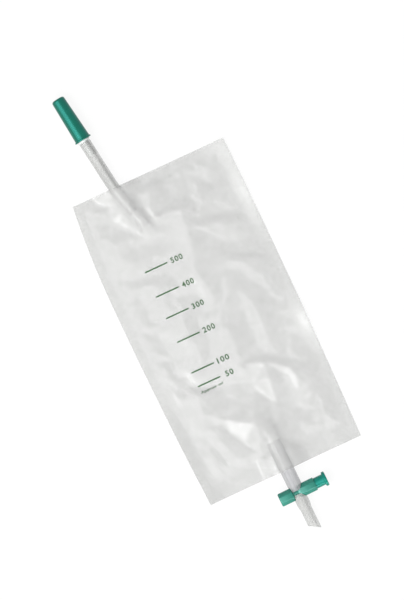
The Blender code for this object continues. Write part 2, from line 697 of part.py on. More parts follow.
def sleeve_floor():
    """The sleeve is as deep as the stem's travel needs."""
    return stem_start() - TRAVEL - CLEARANCE


def sealing_groove(middle, land):
    """A shallow groove round a land of the plunger, which leaves a lip on each side."""
    floor = land - RING_GROOVE
    return [(land, middle - LIP * 2), (floor, middle - LIP), (floor, middle + LIP), (land, middle + LIP * 2)]


def make_plunger(green):
    """Rod with two sealing lands and a neck that opens the port, and a stem with a flange to pull."""
    land = BARREL_BORE - CLEARANCE
    stem = SLEEVE_RADIUS - SLEEVE_WALL - CLEARANCE
    flange_start = SLEEVE_END + STEM_SHOWN
    flange_end = flange_start + PLUNGER_FLANGE
    rim = 0.6 * MM
    profile = [(0, -NECK_HALF - LAND), (land - LIP, -NECK_HALF - LAND), (land, -NECK_HALF - LAND + LIP)]
    profile += sealing_groove(-NECK_HALF - LAND / 2, land)
    profile += [(land, -NECK_HALF), (NECK_RADIUS, -NECK_HALF + LIP * 2), (NECK_RADIUS, NECK_HALF - LIP * 2)]
    profile += [(land, NECK_HALF)]
    profile += sealing_groove(NECK_HALF + LAND / 2, land)
    profile += [(land, stem_start()), (stem, stem_start()), (stem, flange_start - rim)]
    profile += [(stem + rim / 2, flange_start), (PLUNGER_FLANGE_RADIUS - rim / 2, flange_start)]
    profile += [(PLUNGER_FLANGE_RADIUS, flange_start + rim), (PLUNGER_FLANGE_RADIUS, flange_end - rim)]
    profile += [(PLUNGER_FLANGE_RADIUS - rim, flange_end), (stem - rim, flange_end), (stem - 2 * rim, flange_end - rim)]
    profile.append((0, flange_end - rim))
    turned("tap_plunger", profile, green, barrel_frame())


def make_outlet_tubes(clear_tube):
    """The tube from the bag and the tail tube. Both ends at the tap are cut out round its body."""
    outlet_end = TAP_BELOW_BAG - TUBE_END_FROM_TAP
    path = [outlet_point(below) for below in (-OUTLET_INSIDE, -BOTTOM_WELD, 0, outlet_end)]
    outer = [OUTLET_RADIUS] * len(path)
    inner = [OUTLET_RADIUS - OUTLET_WALL] * len(path)
    upper = tube("outlet_tube", path, outer, inner, clear_tube)
    tail_start = TAP_BELOW_BAG + TUBE_END_FROM_TAP
    past_spigot = TAP_BELOW_BAG + SPIGOT_LENGTH
    stops = [tail_start, past_spigot, past_spigot + 2 * MM, past_spigot + 4 * MM]
    path = [outlet_point(below) for below in (*stops, TAP_BELOW_BAG + TAIL_LENGTH)]
    narrow = TAIL_STRETCHED - TAIL_RADIUS
    outer = [TAIL_STRETCHED, TAIL_STRETCHED, TAIL_STRETCHED - narrow / 2, TAIL_RADIUS, TAIL_RADIUS]
    inner = [radius - TAIL_WALL for radius in outer]
    tail = tube("tail_tube", path, outer, inner, clear_tube, slant=TAIL_SLANT)
    saddle = turned("tap_saddle", tap_profile(CLEARANCE), clear_tube, barrel_frame(), steps=32)
    cut(upper, saddle)
    cut(tail, saddle)


def main():
    for thing in list(bpy.data.objects):
        bpy.data.objects.remove(thing)
    clear_film = finish("clear_pvc_film", (0.72, 0.73, 0.72), 0.2, 0.45)
    clear_tube = finish("clear_pvc_tube", (0.66, 0.67, 0.66), 0.18, 0.6)
    clear_plastic = finish("clear_polystyrene", (0.8, 0.81, 0.8), 0.15, 0.7)
    cap_green = finish("cap_green", (0.003, 0.17, 0.1), 0.3)
    body_green = finish("tap_body_green", (0.026, 0.28, 0.2), 0.32)
    plunger_green = finish("plunger_green", (0.002, 0.23, 0.16), 0.28)
    make_films(clear_film)
    make_inlet_tube(clear_tube)
    make_non_return_valve(clear_film)
    make_connector(clear_plastic)
    make_cap(cap_green)
    make_tap_body(body_green)
    make_plunger(plunger_green)
    make_outlet_tubes(clear_tube)


main()
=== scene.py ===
"""Looks of an empty 500 ml urine drainage bag: two crumpled clear films, tubes, a cap and a push-pull tap.

Metres, +Z up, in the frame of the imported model: X runs across the bag and +Y towards the inlet.
"""

import math

import bmesh
import bpy
import numpy as np
from mathutils import Matrix, Vector, noise
from mathutils.geometry import delaunay_2d_cdt


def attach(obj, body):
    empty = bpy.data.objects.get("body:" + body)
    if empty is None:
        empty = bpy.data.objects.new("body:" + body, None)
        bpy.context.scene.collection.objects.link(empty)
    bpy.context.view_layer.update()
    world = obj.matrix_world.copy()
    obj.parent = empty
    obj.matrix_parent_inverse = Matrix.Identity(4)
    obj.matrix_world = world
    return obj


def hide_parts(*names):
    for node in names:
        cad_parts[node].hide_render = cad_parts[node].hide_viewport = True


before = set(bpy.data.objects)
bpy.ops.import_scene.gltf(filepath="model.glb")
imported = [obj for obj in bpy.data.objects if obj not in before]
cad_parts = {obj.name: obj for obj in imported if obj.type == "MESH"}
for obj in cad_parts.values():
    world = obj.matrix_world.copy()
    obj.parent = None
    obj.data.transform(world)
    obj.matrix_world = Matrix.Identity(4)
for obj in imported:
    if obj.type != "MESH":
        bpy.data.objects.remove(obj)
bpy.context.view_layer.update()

MM = 0.001

# Bag
BAG_WIDTH = 131 * MM
BAG_LENGTH = 260 * MM
FILM = 0.25 * MM
FILM_GAP = 0.06 * MM
SIDE_WELD = 6 * MM
TOP_WELD = 3 * MM
BOTTOM_WELD = 12 * MM
WELD_CORNER = 6 * MM
LEFT_BOW = 4.5 * MM
LEFT_BOW_FROM_TOP = 80 * MM
RIGHT_BOW = 1.5 * MM
RIGHT_BOW_FROM_TOP = 120 * MM
HOLLOW_RUN = 12 * MM
WELD_RUN = 9 * MM
WELD_LIFT_REACH = 15 * MM
TUBE_FILM_GAP = 0.35 * MM
TOP = BAG_LENGTH / 2
BOTTOM = -BAG_LENGTH / 2
SEAM = FILM + FILM_GAP / 2
DRAPE_ANGLE = math.radians(66)
DRAPE_FROM_TUBE = 2 * MM
DRAPE_PAST_TUBE = 24 * MM

# Share of a tube's lift of the film from which the film rests on it, and from which the tube holds it
RESTS_FROM = 0.999
HELD_FROM = 0.7

# Films as meshes: distance between points. The front film crumples on a coarse grid, which is then divided.
CRUMPLE_STEP = 1.75 * MM
BACK_STEP = 2 * MM

# Crumpling: the film is simulated larger than life, with this share more length than fits between the
# welds, and this share of its buckling is added to the creases
SIM_SCALE = 20
SLACK = 0.005
BUCKLING = 0.8
SIM_FRAMES = 14
SIM_QUALITY = 6
SIM_STRETCH_STIFFNESS = 20
SIM_SHEAR_STIFFNESS = 12
SIM_BENDING_STIFFNESS = 2
SIM_AIR_DAMPING = 2
HELD_BY_WELD = 10 * MM
HELD_BY_TUBE = 5 * MM
UNEVEN = 0.12 * MM
UNEVEN_SIZE = 7 * MM
UNEVEN_SEED = 3.3

# Low wrinkles of the back film
BACK_WRINKLE = 0.35 * MM
BACK_WRINKLE_SIZE = 16 * MM
BACK_WRINKLE_POWER = 0.8
BACK_WRINKLE_SEED = 7.7

# Creases of the front film, whose facets are flat between them: x, y and height of the points along each, in
# millimetres. Lines of high and of low points alternate.
CREASES = (
    # Left of the inlet tube
    ((-50, 121, 0.7), (-53, 101, 0.6)),
    ((-37, 121, 1), (-43, 108, 0.8), (-38, 98, 1)),
    # Round the end of the inlet tube, and the dark band that comes to it from the top edge
    ((-28, 108, 2.6), (-21, 97, 3.2), (-32, 91, 1.9)),
    ((-12, 127, 1.6), (-16, 112, 2.2), (-17, 104, 2.8)),
    ((0, 125, 5), (-10, 104, 4.6)),
    ((-21, 97, 3.2), (-10, 95.5, 3.5), (2, 94.5, 3.7), (13, 92, 3.7), (21, 87, 2)),
    ((11, 126, 0.6), (2, 101, 1), (20, 99, 0.5), (24, 92, 0.8), (21, 87, 2)),
    ((25, 99, 0.7), (29, 92, 2.6), (23, 83.5, 2.4)),
    ((31, 110, 0.6), (48, 121, 0.7)),
    ((54, 104, 0.9), (48, 96, 1.2), (50, 81, 1)),
    # Left top
    ((-51, 90, 0.8), (-58, 77, 0.6), (-57, 67, 0.6)),
    ((-44, 86, 1.3), (-41, 70, 1.3)),
    ((-28, 80, 1.8), (-20, 64, 2.1)),
    ((-10, 80, 2.4), (1, 84, 2.8)),
    ((-58, 62, 0.5), (-36, 54, 1), (-16, 50, 1.9)),
    ((-58, 54, 0.6), (-50, 51, 0.8), (-34, 47, 1.7), (-16, 39, 2.3)),
    # Two steps across the right half
    ((9, 80, 2.9), (16, 84, 2.4), (26, 80, 1.5), (42, 75, 1), (56, 69, 0.7)),
    ((14, 79.5, 3.1), (20, 74, 2.7), (34, 71, 2.2), (48, 66, 1.8), (58, 61, 1)),
    ((10, 73, 3.1), (20, 67.5, 1.9), (28, 59, 1.2), (44, 52, 1.1), (59, 46, 0.8)),
    ((10, 73, 3.1), (7, 60, 3.6), (2, 47, 3.5)),
    ((-2, 63, 2.6), (-5, 50, 2.6)),
    ((34, 44, 1.2), (46, 39.5, 1), (57, 33, 0.8)),
    ((2, 47, 3.5), (14, 43, 2.8), (26, 41, 2.4), (45, 34, 2.3), (58, 26, 1.6)),
    # Middle
    ((-20, 25, 2.2), (-28, 5, 2)),
    ((-10, 10, 2.4), (8, 20, 2.8), (10, 7, 2.7)),
    ((22, 31, 2.5), (25, 16, 2.6), (32, 2, 2.4), (33, -12, 2), (30, -30, 1.8)),
    ((38, 27, 1.9), (37, 19, 1.6), (45, 8, 1.3), (50, -8, 1), (50, -22, 0.8)),
    ((-1, -3, 2.7), (5, -9, 3.8), (6.5, -20, 4), (5, -33, 3.8)),
    ((-5, -18, 2.7), (-5, -33, 2.6)),
    ((12, 0, 2.2), (22, -12, 1.5), (22, -24, 1.3), (13, -36.5, 1.3), (23, -40, 1.3), (38, -50, 1.2)),
    ((4, -39, 2.4), (20, -45, 3.4), (36, -56, 2.6), (39.5, -66, 2.4), (37, -79, 1.4)),
    ((20, -45, 3.4), (18.5, -58, 4.8), (17, -69, 3.4)),
    ((5, -57, 0.8), (7, -66, 0.9)),
    ((29, -57, 1.3), (27, -72, 1), (22, -84, 1.4)),
    ((33.5, -62, 1.3), (34, -74, 1.1)),
    ((44, -54, 1.5), (48, -65, 1.8), (44, -74, 1.6)),
    ((43, -60, 1.4), (43, -68, 1.4)),
    # Left, down to the fold that rises on the outlet tube
    ((-46, 44, 0.7), (-45.5, 8, 0.7), (-45, -8, 0.7)),
    ((-43.8, 45, 0.85), (-43.4, 20, 0.9), (-43, -8, 0.85)),
    ((-25, -20, 2), (-12, -38, 2.2)),
    ((-58, -31, 0.5), (-46, -37, 0.7), (-36, -41, 0.9)),
    (
        (-58, -39, 0.6), (-48, -43, 0.8), (-40, -46, 2.1),
        (-40.5, -60, 2.1), (-40.5, -73, 1.3), (-38, -84, 1.4),
    ),
    ((-17, -50, 0.6), (-18, -57, 0.6), (-10, -70, 0.9)),
    ((-44.5, -50, 1.2), (-44.5, -73, 0.9)),
    ((-28, -73, 2), (-18, -79, 3.2), (-8, -85.5, 4.8), (-3, -92, 6.5), (-2, -99, 8)),
    ((-30, -76, 0.9), (-28, -83, 0.8), (-20, -98, 0.8), (-13, -110, 0.9), (-9, -120, 0.9)),
    ((-38, -84, 1.4), (-32, -100, 1.4), (-20, -116, 1.3)),
    # Bottom
    ((-57, -92, 0.4), (-55, -116, 0.4)),
    ((-51, -94, 0.8), (-46, -117, 0.9)),
    ((-45, -88, 0.6), (-41, -100, 0.6), (-38, -116, 0.6)),
    ((9, -88, 3.4), (16, -78, 2.2)),
    ((10, -100, 3), (24, -105, 1.2), (22, -120, 0.8)),
    ((30, -92, 1.2), (45, -94, 1.1), (56, -84, 0.9), (56, -62, 0.9)),
    ((45, -106, 0.9), (43, -117, 0.7)),
    ((50, -104, 1.4), (47, -117, 1.3)),
    # Beyond the edges
    (
        (-76, 134, 0.5), (76, 134, 0.8), (76, 0, 0.8), (76, -134, 0.8),
        (-76, -134, 0.5), (-76, 0, 0.5), (-76, 134, 0.5),
    ),
)
CREASE_ROUNDING = 1

# Places where the welded edge curls up from the table: x, y, height, reach across and reach along, in
# millimetres
CURLS = (
    (70, -24, 4, 12, 22),
    (69, 93, 3.4, 10, 32),
    (68, 130, 2.2, 16, 14),
    (-72, -100, 3.6, 9, 34),
    (-67, -132, 2.2, 12, 10),
    (50, -133, 0.8, 8, 10),
)

# UV maps of tubes: metres along in U and round in V, and the bore's V starts here
BORE_V = 1

# Round pieces: how many sides they have, how many straight pieces a fillet has, and the most that it takes
# of the line beside it
COARSE_SIDES = 48
TUBE_SIDES = 64
TURNED_SIDES = 72
FINE_SIDES = 96
FILLET_STEPS = 5
FILLET_SHARE = 0.49

# Points this close are one point, and edges stay sharp from these angles in degrees
SAME_POINT = 1e-7
SAME_CREASE_POINT = MM / 100
SHARP_FROM = 35
FILM_SHARP_FROM = 60

# Inlet tube, bent a little where it leaves the bag
INLET_X = -29.5 * MM
INLET_RADIUS = 4.65 * MM
INLET_WALL = 1.15 * MM
INLET_INSIDE = 25.5 * MM
INLET_OUTSIDE = 42.9 * MM
INLET_LEAN_INSIDE = math.radians(14.6)
INLET_LEAN_OUTSIDE = math.radians(7.7)
INLET_BEND = 8 * MM
INLET_PIECES = 90
INLET_FILM_RADIUS = INLET_RADIUS + TUBE_FILM_GAP
INLET_Z = FILM + INLET_FILM_RADIUS
BARB_BULGE = 0.16 * MM
BARB_BULGES = 4

# Non-return valve
BILL_WALL = 0.4 * MM
BILL_IN_TUBE = 8 * MM
BILL_LENGTH = 14 * MM
BILL_HALF_WIDTH = 4.9 * MM
BILL_SLIT = 0.4 * MM
BILL_PIECES = 30

# Catheter connector and its cap
CLEARANCE = 0.3 * MM
CONNECTOR_BORE = 1.9 * MM
BARB_LENGTH = 12 * MM
BARB_LIP = 0.25 * MM
COLLAR_RADIUS = 5 * MM
COLLAR_LENGTH = 1.6 * MM
CONE_LENGTH = 32 * MM
CONE_BASE_RADIUS = 4.3 * MM
CONE_TIP_RADIUS = 2.6 * MM
CONE_STEPS = 4
CONE_STEP = 0.45 * MM
CAP_LENGTH = 38.3 * MM
CAP_WALL = 1 * MM
CAP_END_RADIUS = 5.4 * MM
CAP_SHOULDER = 1.9 * MM
CAP_MOUTH_UP = 1.8 * MM
CAP_FLANGE_OUT = 0.75 * MM
CAP_FLANGE = 1.2 * MM
CAP_FLARE = 1.6 * MM
CAP_BORE = COLLAR_RADIUS + CLEARANCE
CAP_MOUTH_RADIUS = CAP_BORE + CAP_WALL
CAP_FLANGE_RADIUS = CAP_MOUTH_RADIUS + CAP_FLANGE_OUT

# Outlet tube and tail tube
OUTLET_X = 1 * MM
OUTLET_LEAN = math.radians(1.2)
OUTLET_RADIUS = 5.75 * MM
OUTLET_WALL = 1.45 * MM
OUTLET_INSIDE = 25 * MM
TAP_BELOW_BAG = 19.3 * MM
TUBE_END_FROM_TAP = 1.5 * MM
TAIL_LENGTH = 30.5 * MM
TAIL_STRETCHED = 5.25 * MM
TAIL_RADIUS = 4.6 * MM
TAIL_WALL = 1.1 * MM
TAIL_NARROWING = 4 * MM
TAIL_SLANT = 0.59
TAIL_SLANT_RUN = 8 * MM
OUTLET_PIECES = 40
TAIL_PIECES = 50
OUTLET_FILM_RADIUS = OUTLET_RADIUS + TUBE_FILM_GAP
OUTLET_Z = FILM + OUTLET_FILM_RADIUS

# Push-pull tap across the tube. GRIP_CORNER is how much of a sharp corner's radius the grip's rounded corners
# keep, and SLEEVE_FLAT how much of the sleeve's radius its flats keep.
BARREL_RADIUS = 3.7 * MM
BARREL_BORE = 2.5 * MM
GRIP_START = -15.8 * MM
GRIP_END = -4.2 * MM
GRIP_FLAT = 5.4 * MM
GRIP_SIDES = 8
GRIP_CHAMFER = 1.1 * MM
GRIP_CORNER = 0.985
NOSE_START = -0.6 * MM
NOSE_LENGTH = 8 * MM
NOSE_ANGLES = range(24, 91, 6)
SLEEVE_END = 15.1 * MM
SLEEVE_RADIUS = 5.6 * MM
SLEEVE_WALL = 0.8 * MM
SLEEVE_FLAT = 0.955
SPIGOT_LENGTH = 11 * MM
SPIGOT_ROOT = 3.6 * MM
PORT_RADIUS = 2 * MM
TRAVEL = 6 * MM
STEM_IN_SLEEVE = 1.8 * MM
STEM_SHOWN = 7.5 * MM
PLUNGER_FLANGE_RADIUS = 6 * MM
PLUNGER_FLANGE = 2.5 * MM
NECK_RADIUS = 1.3 * MM
NECK_HALF = 2.4 * MM
LAND = 5.5 * MM
RING_GROOVE = 0.35 * MM
STEM_START = SLEEVE_END - STEM_IN_SLEEVE
SLEEVE_FLOOR = STEM_START - TRAVEL - CLEARANCE

# Printed scale: y of each line and its number, in millimetres
SCALE = ((58.75, "500"), (37.5, "400"), (18.75, "300"), (-2, "200"), (-28.75, "100"), (-40.75, "50"))
SCALE_LINE_X = -25.75 * MM
SCALE_LINE_LENGTH = 19.5 * MM
SCALE_LINE_WIDTH = 1.1 * MM
NUMBER_X = -8 * MM
NUMBER_HEIGHT = 4.6 * MM
NUMBER_WIDTHS = {2: 6.6 * MM, 3: 10 * MM}
LETTER_BOLD = 0.024
LETTER_SPACING = 1.2
LETTER_CURVE_STEPS = 4
UNITS_X = -25.7 * MM
UNITS_Y = -46.4 * MM
UNITS_WIDTH = 19 * MM
UNITS_HEIGHT = 2.9 * MM
INK = 0.05 * MM
INK_LIFT = 0.04 * MM
RAY_START = 60 * MM
BAR_POINTS_ALONG = 24
BAR_POINTS_ACROSS = 3

# Tubes: their two shades, how dense the wall is outside and inside the bag, and how far round from its side
# the painted shade line runs, which stands in for the dark edge of the bore
TUBES = {
    "clear_pvc_tube": ((0.43, 0.433, 0.42), (0.6, 0.605, 0.59), 0.48, 0.09, 9.5 * MM),
    "milky_pvc_tube": ((0.42, 0.42, 0.438), (0.53, 0.53, 0.548), 0.48, 0.16, 15 * MM),
    "clear_tail_tube": ((0.43, 0.433, 0.418), (0.58, 0.585, 0.57), 0.44, 0.44, 5.5 * MM),
}
# Painted shade line along each tube, standing in for the dark edge of its bore: its width and its colour
SHADE_LINE_WIDTH = 2.6 * MM
SHADE_LINE_COLOUR = (0.2, 0.202, 0.198)

# Mouldings: their two shades, the tint of their highlight, their roughness and their gloss
MOULDINGS = {
    "cap_green": ((0.0003, 0.068, 0.033), (0.0005, 0.086, 0.046), (0.16, 0.85, 0.8), 0.24, 1),
    "tap_body_green": ((0.004, 0.15, 0.105), (0.008, 0.19, 0.135), (0.5, 0.9, 0.85), 0.2, 0.8),
    "plunger_green": ((0.001, 0.14, 0.095), (0.002, 0.18, 0.13), (0.2, 0.85, 0.8), 0.2, 0.7),
}

# Inks: their colour where they are thin and where they cover
INKS = {
    "line_ink": ((0.045, 0.13, 0.045), (0.02, 0.085, 0.02)),
    "number_ink": ((0.07, 0.15, 0.065), (0.035, 0.1, 0.035)),
}

# Camera: straight above, turned so that the bag lies as in the photograph
CAMERA_TARGET = Vector((-3.56 * MM, 20.24 * MM, 0))
CAMERA_TURN = math.radians(-24.88)
CAMERA_LENS = 250
CAMERA_HEIGHT = 3.3

# Lights: a broad softbox on the bag's left with a bright narrow lamp before it, a low one below its bottom
# edge, and a grey room. For each: which way it stands, its tilt from straight above, distance, size and
# radiance.
LEFT_OF_BAG = Vector((-0.94, -0.34, 0)).normalized()
BELOW_BAG = Vector((0.1, -0.99, 0)).normalized()
SOFTBOXES = {
    "left_softbox": (LEFT_OF_BAG, math.radians(34), 2.75, (3.4, 4), 2.05),
    "left_lamp": (LEFT_OF_BAG, math.radians(30), 2.65, (0.4, 1.3), 8),
    "low_softbox": (BELOW_BAG, math.radians(74), 2.9, (0.65, 3.2), 6.5),
}
ROOM_GREY = 0.36
FLOOR_BOUNCE = 0.6
FLOOR_SIZE = 6
FLOOR_BELOW = 0.3 * MM
FLOOR_GLOW = 0.9
SURFACES_SEEN_THROUGH = 24


class Field:
    """A socket of a finish. Arithmetic on it adds Math nodes."""

    def __init__(self, paint, socket):
        self.paint = paint
        self.socket = socket

    def maths(self, operation, first, second):
        return self.paint.node("ShaderNodeMath", {0: first, 1: second}, operation=operation)

    def __add__(self, other):
        return self.maths("ADD", self, other)

    def __sub__(self, other):
        return self.maths("SUBTRACT", self, other)

    def __rsub__(self, other):
        return self.maths("SUBTRACT", other, self)

    def __mul__(self, other):
        return self.maths("MULTIPLY", self, other)

    def __truediv__(self, other):
        return self.maths("DIVIDE", self, other)

    def __pow__(self, other):
        return self.maths("POWER", self, other)

    __radd__ = __add__
    __rmul__ = __mul__

    def between(self, low, high):
        """0 at low, 1 at high, with level ends."""
        inputs = {"Value": self, "From Min": low, "From Max": high}
        return self.paint.node("ShaderNodeMapRange", inputs, interpolation_type="SMOOTHSTEP")


class Nodes:
    """The nodes of a Geometry Nodes tree."""

    def __init__(self, owner):
        self.owner = self.tree = owner

    def node(self, kind, inputs=None, output=0, **settings):
        """Adds a node: its settings first, then a value or a link for each of the sockets named."""
        node = self.tree.nodes.new(kind)
        for name, value in settings.items():
            setattr(node, name, value)
        for name, value in (inputs or {}).items():
            if isinstance(value, Field):
                self.tree.links.new(value.socket, node.inputs[name])
            else:
                node.inputs[name].default_value = value
        return Field(self, node.outputs[output] if node.outputs else None)

    def inputs(self, **kinds):
        """Adds the tree's inputs and gives a function that finds one by its name."""
        face = self.tree.interface
        self.identifiers = {}
        for name, kind in kinds.items():
            socket = face.new_socket(name=name, in_out="INPUT", socket_type="NodeSocket" + kind)
            self.identifiers[name] = socket.identifier
        face.new_socket(name="Geometry", in_out="OUTPUT", socket_type="NodeSocketGeometry")
        start = self.tree.nodes.new("NodeGroupInput")
        return lambda name: Field(self, start.outputs[name])

    def end(self, shape, material):
        """Makes instances real, gives them their material and closes the tree."""
        real = self.node("GeometryNodeRealizeInstances", {"Geometry": shape})
        painted = self.node("GeometryNodeSetMaterial", {"Geometry": real, "Material": material})
        self.node("NodeGroupOutput", {"Geometry": painted})


class Paint(Nodes):
    """The nodes of a material or of the world. A name makes a new material."""

    def __init__(self, owner):
        if isinstance(owner, str):
            owner = bpy.data.materials.new(owner)
        owner.use_nodes = True
        super().__init__(owner)
        self.tree = owner.node_tree
        self.tree.nodes.clear()

    def coordinates(self, output="Object"):
        return self.node("ShaderNodeTexCoord", output=output)

    def attribute(self, name):
        return self.node("ShaderNodeAttribute", output="Fac", attribute_name=name)

    def stretched(self, vector, scale):
        """Coordinates multiplied by a number for each axis."""
        return self.node("ShaderNodeMapping", {"Vector": vector, "Scale": scale})

    def noise(self, vector, size, detail=2, roughness=0.5, distortion=0):
        """Soft noise from 0 to 1 with features of about this size in metres."""
        inputs = {"Vector": vector, "Scale": 1 / size, "Detail": detail, "Roughness": roughness}
        return self.node("ShaderNodeTexNoise", {**inputs, "Distortion": distortion})

    def cells(self, vector, size):
        """Distance to the edges of irregular cells of about this size in metres."""
        inputs = {"Vector": vector, "Scale": 1 / size, "Randomness": 1}
        return self.node("ShaderNodeTexVoronoi", inputs, feature="DISTANCE_TO_EDGE")

    def mix(self, share, first, second):
        """A colour between two."""
        sockets = {0: share}
        for socket, colour in ((6, first), (7, second)):
            sockets[socket] = (*colour, 1) if isinstance(colour, tuple) else colour
        return self.node("ShaderNodeMix", sockets, 2, data_type="RGBA")

    def bump(self, height, distance):
        """Relief of this depth in metres where height goes from 0 to 1."""
        return self.node("ShaderNodeBump", {"Height": height, "Distance": distance, "Strength": 1})

    def finish(self, **inputs):
        """Principled surface with these sockets, such as base_color for Base Color."""
        sockets = {}
        for name, value in inputs.items():
            sockets[name.replace("_", " ").title().replace("Ior", "IOR")] = value
        surface = self.node("ShaderNodeBsdfPrincipled", sockets, "BSDF")
        self.node("ShaderNodeOutputMaterial", {"Surface": surface})
        return self.owner


def film_finish():
    """Clear soft PVC film: a little milky, glossy, finely creased, with a faint line at its weld."""
    paint = Paint("clear_pvc_film")
    place = paint.coordinates()
    inside = paint.attribute("inside")
    weld = 1 - inside.between(-0.4 * MM, 0.2 * MM)
    weld_line = 1 - ((inside / (0.6 * MM)) ** 2).between(0, 1)
    broad = paint.noise(place, 24 * MM, 3, 0.55, 0.6)
    cloud = paint.noise(place, 7 * MM, 2, 0.5)
    shade = (broad * 0.7 + cloud * 0.3).between(0.25, 0.75)
    colour = paint.mix(shade, (0.54, 0.545, 0.53), (0.6, 0.605, 0.59))
    crinkle = paint.cells(place, 6.5 * MM).between(0, 0.4)
    fine = paint.noise(place, 1.8 * MM, 2, 0.5)
    soft = paint.noise(place, 4.5 * MM, 1, 0.5)
    relief = crinkle * 0.2 + fine * 0.06 + soft * 0.5
    return paint.finish(
        base_color=paint.mix(weld_line * 0.12, colour, (0.48, 0.485, 0.475)),
        alpha=0.2 + shade * 0.08 + weld_line * 0.01,
        roughness=0.15 + cloud * 0.08 + weld * 0.06,
        ior=1.65,
        specular_ior_level=0.65,
        normal=paint.bump(relief * (1 - weld * 0.7), 0.04 * MM),
    )


def tube_finish(name):
    """Soft PVC tube with drawing lines along it, and a painted shade line that stands in for the dark edge of
    its bore. It is clearer in its bore and where the films lie on it inside the bag."""
    clear, milky, alpha, inside_alpha, shade_line_at = TUBES[name]
    paint = Paint(name)
    along = paint.coordinates("UV")
    lines = paint.noise(paint.stretched(along, (5, 620, 1)), 1, 1, 0.5)
    wide = paint.noise(paint.stretched(along, (4, 220, 1)), 1, 1, 0.5)
    place = paint.coordinates()
    cloud = paint.noise(place, 9 * MM, 2)
    shade = (lines * 0.4 + wide * 0.45 + cloud * 0.15).between(0.35, 0.65)
    way_round = paint.node("ShaderNodeSeparateXYZ", {"Vector": along}, "Y")
    bore = way_round.between(0.4 * BORE_V, 0.6 * BORE_V)
    # Painted shade: a dark line at a fixed place round the tube, standing in for the dark edge of the bore
    painted_shade_line = 1 - (((way_round - shade_line_at) / (SHADE_LINE_WIDTH / 2)) ** 2).between(0, 1)
    y = paint.node("ShaderNodeSeparateXYZ", {"Vector": place}, "Y")
    in_bag = y.between(BOTTOM - MM, BOTTOM + 3 * MM) * (1 - y.between(TOP - 3 * MM, TOP + MM))
    # Alpha: random streaks along the tube, made denser on the painted shade line
    streaks_and_shade_line = 1.25 - shade * 0.5 + painted_shade_line * 0.2
    return paint.finish(
        # The colour is darkened towards the painted shade line's colour along that line
        base_color=paint.mix(painted_shade_line * 0.42, paint.mix(shade, clear, milky), SHADE_LINE_COLOUR),
        alpha=streaks_and_shade_line * (1 - bore * 0.7) * (alpha + in_bag * (inside_alpha - alpha)),
        roughness=0.28 + cloud * 0.1,
        specular_ior_level=0.6,
        normal=paint.bump(lines, 0.04 * MM),
    )


def valve_finish():
    """Thin soft film of the non-return valve, clearer than the bag's."""
    paint = Paint("thin_clear_pvc")
    place = paint.coordinates()
    cloud = paint.noise(place, 4 * MM, 2, 0.5)
    return paint.finish(
        base_color=paint.mix(cloud, (0.78, 0.785, 0.78), (0.86, 0.865, 0.86)),
        alpha=0.04 + cloud * 0.06,
        roughness=0.25 + cloud * 0.1,
        specular_ior_level=0.6,
        normal=paint.bump(paint.noise(place, 1.2 * MM, 2), 0.05 * MM),
    )


def clear_plastic_finish():
    """Polished hard plastic, clouded, with faint flow marks."""
    paint = Paint("clear_polystyrene")
    place = paint.coordinates()
    flow = paint.noise(place, 6 * MM, 3, 0.6, 0.8)
    return paint.finish(
        base_color=paint.mix(flow, (0.84, 0.87, 0.86), (0.9, 0.92, 0.91)),
        alpha=0.8 + flow * 0.15,
        roughness=0.16 + flow * 0.08,
        specular_ior_level=0.6,
        normal=paint.bump(paint.noise(place, 1.5 * MM, 2), 0.02 * MM),
    )


def moulded_finish(name):
    """Coloured moulded plastic: faint orange peel, flow marks, fine rubbing and a highlight with its tint."""
    deep, bright, sheen, roughness, gloss = MOULDINGS[name]
    paint = Paint(name)
    place = paint.coordinates()
    flow = paint.noise(place, 8 * MM, 3, 0.55, 0.7)
    peel = paint.noise(place, 1.6 * MM, 1, 0.5)
    rubs = paint.noise(paint.stretched(place, (1, 0.12, 1)), 0.5 * MM, 2, 0.7)
    rubs = rubs.between(0.62, 0.78)
    return paint.finish(
        base_color=paint.mix(flow.between(0.25, 0.75), deep, bright),
        roughness=roughness + flow * 0.06 + rubs * 0.1,
        ior=1.6,
        specular_ior_level=gloss,
        specular_tint=(*sheen, 1),
        normal=paint.bump(peel * 0.9 + rubs * 0.1, 0.015 * MM),
    )


def ink_finish(name):
    """Green ink printed on film, a little uneven."""
    thin, full = INKS[name]
    paint = Paint(name)
    place = paint.coordinates()
    cover = paint.noise(place, 0.6 * MM, 3, 0.6).between(0.3, 0.6)
    return paint.finish(
        base_color=paint.mix(cover, thin, full),
        alpha=0.8 + cover * 0.2,
        roughness=0.35 + cover * 0.1,
        specular_ior_level=0.4,
        normal=paint.bump(cover, 0.02 * MM),
    )


def smooth(share):
    """0 to 1 with level ends, for numbers or arrays."""
    share = np.clip(share, 0, 1)
    return share * share * (3 - 2 * share)


def heading(lean):
    """The level direction that leans this angle from +Y towards -X."""
    return Vector((-math.sin(lean), math.cos(lean), 0))


def straight(start, end, count):
    """Evenly spaced values from start to end."""
    return [start + (end - start) * step / count for step in range(count + 1)]


def bow(y, most, widest_from_top):
    """How far an edge stands out: two parabolas that meet at the widest place."""
    from_top = TOP - y
    reach = np.where(from_top < widest_from_top, widest_from_top, BAG_LENGTH - widest_from_top)
    return most * (1 - ((from_top - widest_from_top) / reach) ** 2)


def left_edge(y):
    return -BAG_WIDTH / 2 - bow(y, LEFT_BOW, LEFT_BOW_FROM_TOP)


def right_edge(y):
    return BAG_WIDTH / 2 + bow(y, RIGHT_BOW, RIGHT_BOW_FROM_TOP)


def inside_weld(x, y):
    """Distance in from the weld, whose inner corners are round. It is below 0 on the weld."""
    across = WELD_CORNER - (np.minimum(x - left_edge(y), right_edge(y) - x) - SIDE_WELD)
    along = WELD_CORNER - np.minimum(TOP - y - TOP_WELD, y - BOTTOM - BOTTOM_WELD)
    beyond = np.hypot(np.maximum(across, 0), np.maximum(along, 0))
    return WELD_CORNER - beyond - np.minimum(np.maximum(across, along), 0)


